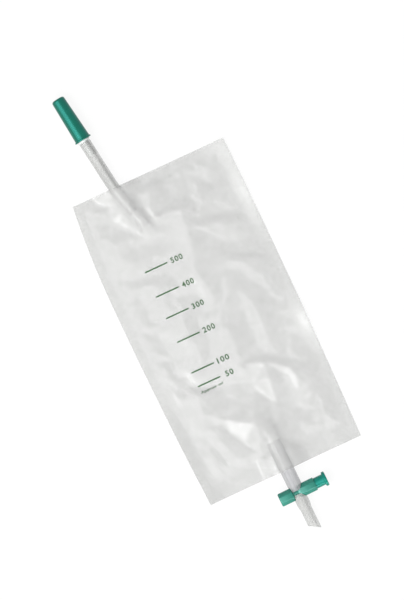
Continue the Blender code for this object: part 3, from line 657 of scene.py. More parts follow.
def crease_height(x, y):
    """Height of the flat facets between the creases, rounded a little where they meet, on a grid."""
    places, heights, edges = [], [], []
    for crease in CREASES:
        for index, (crease_x, crease_y, height) in enumerate(crease):
            if index:
                edges.append((len(places) - 1, len(places)))
            places.append(Vector((crease_x, crease_y)) * MM)
            heights.append(height * MM)
    corners, _, facets, sources, _, _ = delaunay_2d_cdt(places, edges, [], 0, SAME_CREASE_POINT)
    heights = [heights[source[0]] for source in sources]
    field = np.zeros_like(x)
    for first, second, third in facets:
        start = corners[first]
        one, other = corners[second] - start, corners[third] - start
        area = one.cross(other)
        from_x, from_y = x - start.x, y - start.y
        to_one = (from_x * other.y - from_y * other.x) / area
        to_other = (from_y * one.x - from_x * one.y) / area
        to_start = 1 - to_one - to_other
        level = heights[first] * to_start + heights[second] * to_one + heights[third] * to_other
        inside = np.minimum(np.minimum(to_one, to_other), to_start) > -1e-6
        field = np.where(inside, level, field)
    for _ in range(CREASE_ROUNDING):
        for axis in (0, 1):
            field = np.moveaxis(field, axis, 0)
            before = np.concatenate([field[:1], field[:-1]])
            after = np.concatenate([field[1:], field[-1:]])
            field = np.moveaxis((before + 2 * field + after) / 4, 0, axis)
    return field


def curl_height(x, y):
    """How far the welded edge stands off the table. It bends both films together."""
    height = np.zeros_like(x)
    for centre_x, centre_y, rise, across, along in CURLS:
        away = np.hypot((x / MM - centre_x) / across, (y / MM - centre_y) / along)
        height += rise * MM * np.exp(-(away**2))
    return height


def seam_height(away, radius, centre):
    """Middle of the weld beside a tube: at the tube's middle there, and falling to the table."""
    return SEAM + (centre - SEAM) * (1 - smooth((away - radius) / WELD_LIFT_REACH))


def arch(away, radius, centre, base, weld):
    """Underside of the front film across a tube. Weld is 1 where the films are welded and 0 where they hang
    free."""
    start = radius * math.sin(DRAPE_ANGLE)
    rise = np.maximum(centre + radius * math.cos(DRAPE_ANGLE) - base, MM)
    crown = centre + np.sqrt(np.maximum(radius**2 - away**2, 0))
    free = base + rise * np.exp(-math.tan(DRAPE_ANGLE) * (away - start) / rise)
    held = seam_height(away, radius, centre) + FILM_GAP / 2
    held = np.where(away < radius, np.maximum(crown, centre + FILM_GAP / 2), held)
    return np.where(away < start, crown, free + (held - free) * weld)


def trough(away, radius, centre, weld):
    """Top of the back film across a tube, above its level elsewhere."""
    floor = centre - np.sqrt(np.maximum(radius**2 - away**2, 0))
    held = seam_height(away, radius, centre) - FILM_GAP / 2
    held = np.where(away < radius, np.minimum(floor, centre - FILM_GAP / 2), held)
    return (held - FILM) * weld


def tube_terms(x, y):
    """For each tube: distance from its axis, its film radius, its height, how welded the films are beside it
    and how far it raises the front film."""
    axis = INLET_X + math.tan(INLET_LEAN_INSIDE) * (TOP - y)
    end = TOP - INLET_INSIDE * math.cos(INLET_LEAN_INSIDE) - DRAPE_FROM_TUBE
    weld = 1 - smooth((TOP - TOP_WELD - y) / WELD_RUN)
    raised = 1 - smooth((end - y) / DRAPE_PAST_TUBE)
    away = np.abs(x - axis) * math.cos(INLET_LEAN_INSIDE)
    yield away, INLET_FILM_RADIUS, INLET_Z, weld, raised
    axis = OUTLET_X - math.tan(OUTLET_LEAN) * (y - BOTTOM)
    end = BOTTOM + OUTLET_INSIDE + DRAPE_FROM_TUBE
    weld = 1 - smooth((y - BOTTOM - BOTTOM_WELD) / WELD_RUN)
    raised = 1 - smooth((y - end) / DRAPE_PAST_TUBE)
    yield np.abs(x - axis) * math.cos(OUTLET_LEAN), OUTLET_FILM_RADIUS, OUTLET_Z, weld, raised


def waves(x, y, size, seed):
    """Smooth noise from -1 to 1 with features of about this size."""
    spots = zip((x / size).ravel(), (y / size).ravel())
    return np.array([noise.noise(Vector((*spot, seed))) for spot in spots]).reshape(x.shape)


def front_height(x, y):
    """Underside of the front film before it crumples."""
    base = SEAM + FILM_GAP / 2 + smooth(inside_weld(x, y) / HOLLOW_RUN) * crease_height(x, y)
    height = base
    for away, radius, centre, weld, raised in tube_terms(x, y):
        height = height + (arch(away, radius, centre, base, weld) - base) * raised
    return height + curl_height(x, y)


def back_height(x, y):
    """Top of the back film, which has low wrinkles where nothing presses it."""
    height = np.full_like(x, FILM)
    clear = smooth(inside_weld(x, y) / HOLLOW_RUN)
    for away, radius, centre, weld, raised in tube_terms(x, y):
        height = height + trough(away, radius, centre, weld)
        clear = clear * (1 - raised * (1 - smooth((away - radius) / HELD_BY_TUBE)))
    ridges = np.abs(waves(x, y, BACK_WRINKLE_SIZE, BACK_WRINKLE_SEED)) ** BACK_WRINKLE_POWER
    return height + curl_height(x, y) + BACK_WRINKLE * clear * ridges


def least_height(x, y):
    """The lowest that the front film's underside may be, on the back film, the tubes and the valve."""
    lowest = back_height(x, y) + FILM_GAP
    for away, radius, centre, _, raised in tube_terms(x, y):
        crown = centre + np.sqrt(np.maximum(radius**2 - away**2, 0))
        lowest = np.where((away < radius) & (raised > RESTS_FROM), np.maximum(lowest, crown), lowest)
    tube_end = inlet_line(0)
    along = -heading(INLET_LEAN_INSIDE)
    past = (x - tube_end.x) * along.x + (y - tube_end.y) * along.y
    away = np.abs((x - tube_end.x) * along.y - (y - tube_end.y) * along.x)
    flat = smooth(past / BILL_LENGTH)
    collar = INLET_RADIUS - INLET_WALL
    half_height = collar + (BILL_SLIT / 2 + BILL_WALL - collar) * flat
    centre = tube_end.z + (FILM + 2 * CLEARANCE + BILL_SLIT / 2 + BILL_WALL - tube_end.z) * flat
    share = np.maximum(1 - (away / BILL_HALF_WIDTH) ** 2, 0)
    over_valve = centre + half_height * np.sqrt(share) + FILM_GAP
    on_valve = (away < BILL_HALF_WIDTH) & (past > -2 * MM) & (past < BILL_LENGTH + MM)
    return np.where(on_valve, np.maximum(lowest, over_valve), lowest)


def film_places(step, finer=1):
    """The x and y of a film's points, in rows from its top edge down and columns from its left edge across,
    with each step divided again if asked."""
    rows = np.linspace(TOP, BOTTOM, round(BAG_LENGTH / step) * finer + 1)
    shares = np.linspace(0, 1, round(BAG_WIDTH / step) * finer + 1)
    y = np.repeat(rows[:, None], len(shares), axis=1)
    return left_edge(y) + (right_edge(y) - left_edge(y)) * shares, y


def grid_mesh(name, x, y, z):
    """A sheet of quads through a grid of points, facing up."""
    rows, columns = x.shape
    index = np.arange(rows * columns).reshape(rows, columns)
    corners = (index[:-1, :-1], index[1:, :-1], index[1:, 1:], index[:-1, 1:])
    faces = np.stack([corner.ravel() for corner in corners], axis=1)
    mesh = bpy.data.meshes.new(name)
    mesh.from_pydata(np.stack([x.ravel(), y.ravel(), z.ravel()], axis=1).tolist(), [], faces.tolist())
    return mesh


def points_of(mesh):
    """A mesh's points as an array of rows of x, y and z."""
    points = np.empty(len(mesh.vertices) * 3)
    mesh.vertices.foreach_get("co", points)
    return points.reshape(-1, 3)


def baked(thing):
    """The object with its modifiers made part of its mesh."""
    bpy.context.view_layer.update()
    evaluated = thing.evaluated_get(bpy.context.evaluated_depsgraph_get())
    mesh = bpy.data.meshes.new_from_object(evaluated)
    thing.modifiers.clear()
    thing.data = mesh
    return thing


def object_of(name, data):
    thing = bpy.data.objects.new(name, data)
    bpy.context.scene.collection.objects.link(thing)
    return thing


def dress(thing, finish, body, nodes, sharp=SHARP_FROM):
    """Gives a piece its smooth faces, its finish, the body it rides on and the nodes that it stands for."""
    mesh = thing.data
    mesh.shade_smooth()
    mesh.set_sharp_from_angle(angle=math.radians(sharp))
    mesh.materials.clear()
    mesh.materials.append(finish)
    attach(thing, body)
    if nodes:
        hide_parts(*nodes)


def tidy_mesh(mesh):
    """Merges doubles and turns every face outwards."""
    shape = bmesh.new()
    shape.from_mesh(mesh)
    bmesh.ops.remove_doubles(shape, verts=shape.verts, dist=SAME_POINT)
    bmesh.ops.recalc_face_normals(shape, faces=shape.faces)
    shape.to_mesh(mesh)
    shape.free()
    return mesh


def filleted(corners, closed):
    """Outline points from corners of (radius, height, fillet). A fillet is an arc that touches both sides."""
    points = []
    for index, (radius, height, fillet) in enumerate(corners):
        here = Vector((radius, height))
        if not fillet or (not closed and index in (0, len(corners) - 1)):
            points.append(here)
            continue
        before = Vector(corners[index - 1][:2]) - here
        after = Vector(corners[(index + 1) % len(corners)][:2]) - here
        half = before.angle(after) / 2
        cut = min(fillet / math.tan(half), FILLET_SHARE * before.length, FILLET_SHARE * after.length)
        start, end = here + before.normalized() * cut, here + after.normalized() * cut
        centre = here + (before.normalized() + after.normalized()).normalized() * cut / math.cos(half)
        for step in range(FILLET_STEPS + 1):
            arm = (start - centre).lerp(end - centre, step / FILLET_STEPS)
            points.append(centre + arm.normalized() * (start - centre).length)
    return points


def mesh_of(name, shape):
    """A mesh from a shape being edited, which is then freed."""
    mesh = bpy.data.meshes.new(name)
    shape.to_mesh(mesh)
    shape.free()
    return mesh


def turned(name, corners, matrix, sides=TURNED_SIDES, closed=False):
    """Corners of (radius, height, fillet) turned round local Z. A closed outline makes a ring, and an open
    one starts and ends on the axis."""
    shape = bmesh.new()
    points = [shape.verts.new((radius, 0, height)) for radius, height in filleted(corners, closed)]
    pairs = list(zip(points, points[1:]))
    if closed:
        pairs.append((points[-1], points[0]))
    edges = [shape.edges.new(pair) for pair in pairs]
    turn = {"axis": (0, 0, 1), "cent": (0, 0, 0), "angle": 2 * math.pi, "steps": sides, "use_merge": True}
    bmesh.ops.spin(shape, geom=points + edges, **turn)
    mesh = mesh_of(name, shape)
    mesh.transform(matrix)
    return object_of(name, tidy_mesh(mesh))


def ring(centre, along, half_width, half_height, sides, slant):
    """Points of an ellipse square to a direction, one half axis level. A slant shifts them along it by their
    side."""
    side = Vector((0, 0, 1)).cross(along).normalized()
    up = along.cross(side).normalized()
    points = []
    for step in range(sides):
        angle = 2 * math.pi * step / sides
        across = half_width * math.cos(angle)
        points.append(centre + side * across + up * half_height * math.sin(angle) + along * slant * across)
    return points


def walled(name, stations, sides=TUBE_SIDES):
    """A tube with a wall. Each station is a centre, a direction, the outer and inner half width and half
    height, and a slant. Its UV map has the metres along in U and round in V, from BORE_V for the bore."""
    shape = bmesh.new()
    uv = shape.loops.layers.uv.new("UVMap")
    rings, lengths = [], []
    length = 0.0
    for index, (centre, along, outer, inner, slant) in enumerate(stations):
        if index:
            length += (centre - stations[index - 1][0]).length
        lengths.append(length)
        rings.append((ring(centre, along, *outer, sides, slant), ring(centre, along, *inner, sides, slant)))
    outer = [[shape.verts.new(point) for point in pair[0]] for pair in rings]
    inner = [[shape.verts.new(point) for point in pair[1]] for pair in rings]
    strips = []
    for wall, first_v in ((outer, 0), (inner, BORE_V)):
        strips += [(*ends, first_v) for ends in zip(wall, wall[1:], lengths, lengths[1:])]
    strips += [(outer[0], inner[0], 0, -MM, 0), (outer[-1], inner[-1], length, length + MM, 0)]
    girth = 2 * math.pi * stations[0][2][0]
    for one, other, start, end, first_v in strips:
        for index in range(sides):
            face = shape.faces.new((one[index - 1], one[index], other[index], other[index - 1]))
            before, after = (index or sides) - 1, index or sides
            for loop, u, v in zip(face.loops, (start, start, end, end), (before, after, after, before)):
                loop[uv].uv = (u, first_v + girth * v / sides)
    bmesh.ops.recalc_face_normals(shape, faces=shape.faces)
    return object_of(name, mesh_of(name, shape))


def cut_out(target, cutter):
    """Takes a helper's shape out of a piece and deletes the helper."""
    modifier = target.modifiers.new(cutter.name, "BOOLEAN")
    modifier.operation = "DIFFERENCE"
    modifier.solver = "EXACT"
    modifier.object = cutter
    baked(target)
    bpy.data.objects.remove(cutter)


def inlet_line(share):
    """A point of the inlet tube's centre line: straight inside, a soft bend at the bag's edge, then up to the
    cap's height. Share is 0 at its inner end and 1 at its outer one."""
    corner = Vector((INLET_X, TOP, INLET_Z))
    place = -INLET_INSIDE + share * (INLET_INSIDE + INLET_OUTSIDE)
    rise = CAP_FLANGE_RADIUS - INLET_Z
    if place < -INLET_BEND:
        return corner + heading(INLET_LEAN_INSIDE) * place
    if place < INLET_BEND:
        bent = (place + INLET_BEND) / (2 * INLET_BEND)
        inner = corner - heading(INLET_LEAN_INSIDE) * INLET_BEND
        outer = corner + heading(INLET_LEAN_OUTSIDE) * INLET_BEND
        return inner.lerp(corner, bent).lerp(corner.lerp(outer, bent), bent)
    up = rise * float(smooth((place - INLET_BEND) / (INLET_OUTSIDE - INLET_BEND)))
    return corner + heading(INLET_LEAN_OUTSIDE) * place + Vector((0, 0, up))


def inlet_end():
    """The frame of the inlet tube's outer end: local Z runs out along the tube."""
    lean = Matrix.Rotation(INLET_LEAN_OUTSIDE, 4, "Z") @ Matrix.Rotation(-math.pi / 2, 4, "X")
    return Matrix.Translation(inlet_line(1)) @ lean


def outlet_point(below_bag):
    """A point of the outlet's centre line."""
    return Vector((OUTLET_X, BOTTOM, OUTLET_Z)) - heading(OUTLET_LEAN) * below_bag


def tap_frame():
    """The frame of the tap: local X runs along the barrel and local Y up the tube."""
    return Matrix.Translation(outlet_point(TAP_BELOW_BAG)) @ Matrix.Rotation(OUTLET_LEAN, 4, "Z")


def barrel_frame():
    """The tap's frame with local Z along the barrel, for turned pieces."""
    return tap_frame() @ Matrix.Rotation(math.pi / 2, 4, "Y")


def up_tube_frame():
    """The tap's frame with local Z up the tube."""
    return tap_frame() @ Matrix.Rotation(-math.pi / 2, 4, "X")


def make_inlet_tube(finish):
    """The tube from the connector into the bag. It bulges a little along the connector's barbs."""
    stations = []
    near = 0.005
    total = INLET_INSIDE + INLET_OUTSIDE
    for share in straight(0, 1, INLET_PIECES):
        along = (inlet_line(min(share + near, 1)) - inlet_line(max(share - near, 0))).normalized()
        from_end = (1 - share) * total
        bulges_passed = min(from_end * BARB_BULGES / BARB_LENGTH, BARB_BULGES)
        outer = INLET_RADIUS + BARB_BULGE * math.sin(math.pi * bulges_passed) ** 2
        inner = INLET_RADIUS - INLET_WALL
        stations.append((inlet_line(share), along, (outer, outer), (inner, inner), 0))
    tube = walled("inlet_tube_wall", stations)
    dress(tube, finish, "bag", ["inlet_tube"])


def make_valve(finish):
    """A duckbill: a round collar in the tube's bore that flattens to a wide slit lying on the back film."""
    start = inlet_line(0)
    along = -heading(INLET_LEAN_INSIDE)
    collar = INLET_RADIUS - INLET_WALL - CLEARANCE
    tip_half_height = BILL_SLIT / 2 + BILL_WALL
    tip_z = FILM + 2 * CLEARANCE + tip_half_height
    stations = []
    for past_tube in straight(-BILL_IN_TUBE, BILL_LENGTH, BILL_PIECES):
        flat = float(smooth(past_tube / BILL_LENGTH))
        width = collar + (BILL_HALF_WIDTH - collar) * flat
        height = collar + (tip_half_height - collar) * flat
        centre = start + along * past_tube
        centre.z += (tip_z - start.z) * flat
        stations.append((centre, along, (width, height), (width - BILL_WALL, height - BILL_WALL), 0))
    valve = walled("duckbill", stations, sides=COARSE_SIDES)
    dress(valve, finish, "bag", ["non_return_valve"])


def make_connector(finish):
    """Barbs in the tube, a collar at its end and a stepped cone for the catheter, round one bore."""
    barb = INLET_RADIUS - INLET_WALL - CLEARANCE / 2
    root = barb - 2 * BARB_LIP
    collar_top = CLEARANCE + COLLAR_LENGTH
    corners = [(CONNECTOR_BORE, -BARB_LENGTH, 0.1 * MM), (root, -BARB_LENGTH, 0.1 * MM)]
    for share in (0.75, 0.5, 0.25):
        corners += [(barb, -BARB_LENGTH * share, 0.06 * MM), (root, -BARB_LENGTH * share, 0)]
    corners += [
        (root, CLEARANCE, 0),
        (COLLAR_RADIUS, CLEARANCE, 0.3 * MM),
        (COLLAR_RADIUS, collar_top, 0.3 * MM),
        (CONE_BASE_RADIUS, collar_top, 0),
    ]
    for step in range(CONE_STEPS):
        radius = CONE_BASE_RADIUS + (CONE_TIP_RADIUS - CONE_BASE_RADIUS) * (step + 1) / CONE_STEPS
        height = collar_top + CONE_LENGTH * (step + 1) / CONE_STEPS
        if step < CONE_STEPS - 1:
            corners += [(radius + CONE_STEP, height, 0.12 * MM), (radius, height, 0)]
        else:
            corners.append((radius, height, 0.25 * MM))
    corners.append((CONNECTOR_BORE, collar_top + CONE_LENGTH, 0.15 * MM))
    connector = turned("connector_cone", corners, inlet_end(), closed=True)
    dress(connector, finish, "bag", ["catheter_connector"])


def make_cap(finish):
    """A tapered cap with a rounded end and a flange at its mouth."""
    flare_top = CAP_FLANGE + CAP_FLARE
    shoulder = CAP_LENGTH - CAP_SHOULDER
    end_bore = CAP_END_RADIUS - CAP_WALL
    corners = [
        (0, CAP_LENGTH, 0),
        (CAP_END_RADIUS, CAP_LENGTH, CAP_SHOULDER),
        (CAP_MOUTH_RADIUS, flare_top, 4 * MM),
        (CAP_MOUTH_RADIUS + 0.1 * MM, CAP_FLANGE, 0.6 * MM),
        (CAP_FLANGE_RADIUS, CAP_FLANGE, 0.3 * MM),
        (CAP_FLANGE_RADIUS, 0, 0.3 * MM),
        (CAP_BORE, 0, 0.25 * MM),
        (end_bore, shoulder, 1.2 * MM),
        (0, CAP_LENGTH - CAP_WALL, 0),
    ]
    mouth = inlet_end() @ Matrix.Translation((0, 0, CAP_MOUTH_UP))
    cap = turned("push_on_cap", corners, mouth, sides=FINE_SIDES)
    dress(cap, finish, "cap", ["connector_cap"])


def tap_corners(extra):
    """The tap body's outline along the barrel, without its spigots, this much larger all round."""
    grip = GRIP_FLAT / math.cos(math.pi / GRIP_SIDES) if extra else GRIP_FLAT
    corners = [
        (0, GRIP_START - extra, 0),
        (grip + extra, GRIP_START - extra, GRIP_CHAMFER),
        (grip + extra, GRIP_END + extra, GRIP_CHAMFER),
        (BARREL_RADIUS + extra, GRIP_END + extra, 0.25 * MM),
        (BARREL_RADIUS + extra, NOSE_START - extra, 0.25 * MM),
    ]
    for angle in map(math.radians, NOSE_ANGLES):
        radius = BARREL_RADIUS + (SLEEVE_RADIUS - BARREL_RADIUS) * math.sin(angle)
        corners.append((radius + extra, NOSE_START + NOSE_LENGTH * (1 - math.cos(angle)) - extra, 0))
    corners += [(SLEEVE_RADIUS + extra, SLEEVE_END, GRIP_CHAMFER / 2), (0, SLEEVE_END, 0)]
    return corners


def flatten_grips(body, matrix):
    """Gives the grip and the sleeve their flats, with round corners between them."""
    body.data.transform(matrix.inverted())
    side = 2 * math.pi / GRIP_SIDES
    hair = MM / 10
    for vertex in body.data.vertices:
        radius = math.hypot(vertex.co.x, vertex.co.y)
        off_flat = (math.atan2(vertex.co.y, vertex.co.x) + side / 2) % side - side / 2
        out = min(1 / math.cos(off_flat), GRIP_CORNER / math.cos(side / 2))
        share = min(max((radius - BARREL_RADIUS - hair) / (SLEEVE_RADIUS - BARREL_RADIUS), 0), 1)
        if vertex.co.z > GRIP_END + hair:
            out = 1 + (SLEEVE_FLAT * out - 1) * share
        elif not share:
            continue
        vertex.co.x *= out
        vertex.co.y *= out
    body.data.transform(matrix)


def make_spigots(finish):
    """Barbed clear spigots up and down the tube, which meet the barrel in its waist."""
    upper = OUTLET_RADIUS - OUTLET_WALL - CLEARANCE / 2
    lower = TAIL_STRETCHED - TAIL_WALL - CLEARANCE / 2
    barb = 1.5 * MM
    corners = [
        (PORT_RADIUS, -SPIGOT_LENGTH, 0.1 * MM),
        (lower - 2 * BARB_LIP, -SPIGOT_LENGTH, 0.2 * MM),
        (lower, -SPIGOT_LENGTH + barb, 0.1 * MM),
        (SPIGOT_ROOT, -SPIGOT_LENGTH + barb, 0),
        (SPIGOT_ROOT, SPIGOT_LENGTH - barb, 0),
        (upper, SPIGOT_LENGTH - barb, 0.1 * MM),
        (upper - 2 * BARB_LIP, SPIGOT_LENGTH, 0.2 * MM),
        (PORT_RADIUS, SPIGOT_LENGTH, 0.1 * MM),
    ]
    spigots = turned("tap_spigots", corners, up_tube_frame(), closed=True)
    cut_out(spigots, turned("saddle", tap_corners(0), barrel_frame()))
    dress(spigots, finish, "bag", ["tap_body"])


def make_tap_body(finish):
    """Barrel with an octagonal grip, a port for the urine, and a sleeve for the plunger's stem."""
    body = turned("tap_barrel", tap_corners(0), barrel_frame(), sides=FINE_SIDES)
    flatten_grips(body, barrel_frame())
    reach = SPIGOT_LENGTH + MM
    way = [(0, -reach, 0), (PORT_RADIUS, -reach, 0), (PORT_RADIUS, reach, 0), (0, reach, 0)]
    cut_out(body, turned("port", way, up_tube_frame(), sides=COARSE_SIDES))
    sleeve_bore = SLEEVE_RADIUS - SLEEVE_WALL
    bore = [
        (0, GRIP_START - MM, 0),
        (BARREL_BORE, GRIP_START - MM, 0),
        (BARREL_BORE, SLEEVE_FLOOR, 0),
        (sleeve_bore, SLEEVE_FLOOR, 0),
        (sleeve_bore, SLEEVE_END + MM, 0),
        (0, SLEEVE_END + MM, 0),
    ]
    cut_out(body, turned("bore", bore, barrel_frame()))
    dress(body, finish, "bag", ["tap_body"])


def make_plunger(finish):
    """Rod with two sealing lands and a neck that opens the port, and a stem with a flange to pull."""
    land = BARREL_BORE - CLEARANCE
    stem = SLEEVE_RADIUS - SLEEVE_WALL - CLEARANCE
    flange_start = SLEEVE_END + STEM_SHOWN
    flange_end = flange_start + PLUNGER_FLANGE
    rim = 0.6 * MM
    corners = [(0, -NECK_HALF - LAND, 0), (land, -NECK_HALF - LAND, 0.3 * MM)]
    for middle, neck in ((-NECK_HALF - LAND / 2, -NECK_HALF), (NECK_HALF + LAND / 2, NECK_HALF)):
        groove = [
            (land, middle - 2 * BARB_LIP, 0.1 * MM),
            (land - RING_GROOVE, middle - BARB_LIP, 0.1 * MM),
            (land - RING_GROOVE, middle + BARB_LIP, 0.1 * MM),
            (land, middle + 2 * BARB_LIP, 0.1 * MM),
        ]
        if neck < 0:
            corners += groove + [(land, neck, 0.15 * MM), (NECK_RADIUS, neck + 2 * BARB_LIP, 0.2 * MM)]
        else:
            corners += [(NECK_RADIUS, neck - 2 * BARB_LIP, 0.2 * MM), (land, neck, 0.15 * MM)] + groove
    corners += [
        (land, STEM_START, 0),
        (stem, STEM_START, 0.3 * MM),
        (stem, flange_start, 0.5 * MM),
        (PLUNGER_FLANGE_RADIUS, flange_start, 0.5 * MM),
        (PLUNGER_FLANGE_RADIUS, flange_end, rim),
        (stem - rim, flange_end, 0.3 * MM),
        (stem - 2 * rim, flange_end - rim, 0.3 * MM),
        (0, flange_end - rim, 0),
    ]
    plunger = turned("tap_knob", corners, barrel_frame(), sides=FINE_SIDES)
    dress(plunger, finish, "plunger", ["tap_plunger"])


def make_outlet_tubes(milky, clear):
    """The tube from the bag and the tail tube. Both ends at the tap are cut out round its body."""
    along = -heading(OUTLET_LEAN)
    outer = (OUTLET_RADIUS, OUTLET_RADIUS)
    inner = (OUTLET_RADIUS - OUTLET_WALL, OUTLET_RADIUS - OUTLET_WALL)
    places = straight(-OUTLET_INSIDE, TAP_BELOW_BAG - TUBE_END_FROM_TAP, OUTLET_PIECES)
    upper = walled("outlet_tube_wall", [(outlet_point(below), along, outer, inner, 0) for below in places])
    stations = []
    past_spigot = TAP_BELOW_BAG + SPIGOT_LENGTH
    end = TAP_BELOW_BAG + TAIL_LENGTH
    for below in straight(TAP_BELOW_BAG + TUBE_END_FROM_TAP, end, TAIL_PIECES):
        narrow = float(smooth((below - past_spigot) / TAIL_NARROWING))
        radius = TAIL_STRETCHED + (TAIL_RADIUS - TAIL_STRETCHED) * narrow
        slant = TAIL_SLANT * max(0.0, (below - (end - TAIL_SLANT_RUN)) / TAIL_SLANT_RUN)
        wall = (radius - TAIL_WALL, radius - TAIL_WALL)
        stations.append((outlet_point(below), along, (radius, radius), wall, slant))
    tail = walled("tail_tube_wall", stations)
    for tube in (upper, tail):
        saddle = turned("saddle", tap_corners(CLEARANCE / 2), barrel_frame())
        cut_out(tube, saddle)
    dress(upper, milky, "bag", ["outlet_tube"])
    dress(tail, clear, "bag", ["tail_tube"])


def film_piece(name, mesh, finish, node, side):
    """A film of the bag from one surface: thickened away from the hollow and marked with its distance in from
    the weld."""
    thing = object_of(name, mesh)
    thickness = thing.modifiers.new("film_thickness", "SOLIDIFY")
    thickness.thickness = FILM
    thickness.offset = side
    baked(thing)
    points = points_of(thing.data)
    inside = thing.data.attributes.new("inside", "FLOAT", "POINT")
    inside.data.foreach_set("value", inside_weld(points[:, 0], points[:, 1]).astype(np.float32))
    dress(thing, finish, "bag", [node], sharp=FILM_SHARP_FROM)
    return thing


def with_midpoints(field):
    """A grid with a row and a column more between each two, on smooth curves through the old ones."""
    for axis in (0, 1):
        field = np.moveaxis(field, axis, 0)
        padded = np.concatenate([field[:1], field, field[-1:]])
        finer = np.empty((2 * len(field) - 1, *field.shape[1:]))
        finer[::2] = field
        finer[1::2] = (9 * (field[:-1] + field[1:]) - padded[:-3] - padded[3:]) / 16
        field = np.moveaxis(finer, 0, axis)
    return field


def crumple(x, y):
    """How far each point of the front film moves as it crumples. Cloth gives the film a little more length
    than fits, and it buckles between the welds and tubes that hold it."""
    sheet = object_of("slack_film", grid_mesh("slack_film", x, y, front_height(x, y)))
    free = smooth(inside_weld(x, y) / HELD_BY_WELD)
    for away, radius, _, _, raised in tube_terms(x, y):
        free = free * (1 - (1 - smooth((away - radius) / HELD_BY_TUBE)) * (raised > HELD_FROM))
    flat = points_of(sheet.data)
    points = flat.copy()
    points[:, 2] += (UNEVEN * waves(x, y, UNEVEN_SIZE, UNEVEN_SEED) * free).ravel()
    sheet.data.vertices.foreach_set("co", (points * SIM_SCALE).ravel())
    held = sheet.vertex_groups.new(name="held")
    for index, share in enumerate((1 - free).ravel().tolist()):
        held.add([index], share, "REPLACE")
    cloth = sheet.modifiers.new("crumple", "CLOTH")
    settings = cloth.settings
    settings.quality = SIM_QUALITY
    settings.vertex_group_mass = held.name
    settings.pin_stiffness = SIM_SCALE
    settings.tension_stiffness = settings.compression_stiffness = SIM_STRETCH_STIFFNESS
    settings.shear_stiffness = SIM_SHEAR_STIFFNESS
    settings.bending_stiffness = SIM_BENDING_STIFFNESS
    settings.air_damping = SIM_AIR_DAMPING
    settings.shrink_min = -SLACK
    settings.effector_weights.gravity = 0
    cloth.collision_settings.use_collision = False
    cloth.point_cache.frame_start = 1
    cloth.point_cache.frame_end = SIM_FRAMES
    for moment in range(1, SIM_FRAMES + 1):
        bpy.context.scene.frame_set(moment)
    moved = points_of(baked(sheet).data) / SIM_SCALE - flat
    bpy.data.objects.remove(sheet)
    bpy.context.scene.frame_set(1)
    return BUCKLING * moved.reshape(*x.shape, 3)


def make_films(finish):
    """Both films of the bag. Gives back the front one, which the scale is printed on."""
    x, y = film_places(BACK_STEP)
    film_piece("back_sheet", grid_mesh("back_sheet", x, y, back_height(x, y)), finish, "back_film", -1)
    x, y = film_places(CRUMPLE_STEP, finer=2)
    z = front_height(x, y)
    moved = with_midpoints(crumple(*film_places(CRUMPLE_STEP)))
    x, y, z = x + moved[..., 0], y + moved[..., 1], z + moved[..., 2]
    z = np.maximum(z, least_height(x, y))
    return film_piece("front_sheet", grid_mesh("front_sheet", x, y, z), finish, "front_film", 1)


def lay_on_film():
    """Geometry Nodes that divide a flat print finely and lay it on the film under it, as thick as it was."""
    tree = Nodes(bpy.data.node_groups.new("lay_on_film", "GeometryNodeTree"))
    start = tree.inputs(Geometry="Geometry", Film="Object", Lift="Float", Divisions="Int", Ink="Material")
    whole = {"Mesh": start("Geometry"), "Level": start("Divisions")}
    divided = tree.node("GeometryNodeSubdivideMesh", whole)
    film = tree.node("GeometryNodeObjectInfo", {"Object": start("Film")}, "Geometry")
    place = tree.node("GeometryNodeInputPosition")
    x, y, z = (tree.node("ShaderNodeSeparateXYZ", {"Vector": place}, axis) for axis in "XYZ")
    above = tree.node("ShaderNodeCombineXYZ", {"X": x, "Y": y, "Z": RAY_START})
    ray = {"Target Geometry": film, "Source Position": above, "Ray Direction": (0, 0, -1)}
    hit = tree.node("GeometryNodeRaycast", ray, "Hit Position")
    height = tree.node("ShaderNodeSeparateXYZ", {"Vector": hit}, "Z") + z + start("Lift")
    laid = tree.node("ShaderNodeCombineXYZ", {"X": x, "Y": y, "Z": height})
    shape = tree.node("GeometryNodeSetPosition", {"Geometry": divided, "Position": laid})
    tree.end(shape, start("Ink"))
    return tree


def bars_on_points():
    """Geometry Nodes that put a flat bar on each point."""
    tree = Nodes(bpy.data.node_groups.new("bars_on_points", "GeometryNodeTree"))
    sizes = {"Length": "Float", "Width": "Float", "Thickness": "Float"}
    start = tree.inputs(Geometry="Geometry", **sizes, Ink="Material")
    sides = {"X": start("Length"), "Y": start("Width"), "Z": start("Thickness")}
    size = tree.node("ShaderNodeCombineXYZ", sides)
    cuts = {"Size": size, "Vertices X": BAR_POINTS_ALONG, "Vertices Y": BAR_POINTS_ACROSS}
    bar = tree.node("GeometryNodeMeshCube", cuts, "Mesh")
    bars = tree.node("GeometryNodeInstanceOnPoints", {"Points": start("Geometry"), "Instance": bar})
    tree.end(bars, start("Ink"))
    return tree


def print_on(name, mesh, ink, steps):
    """A piece of print, from a flat mesh and the trees with their inputs that finish it."""
    thing = object_of(name, mesh)
    for tree, values in steps:
        modifier = thing.modifiers.new(tree.owner.name, "NODES")
        modifier.node_group = tree.owner
        for label, value in values.items():
            modifier[tree.identifiers[label]] = value
    baked(thing)
    dress(thing, ink, "bag", [])


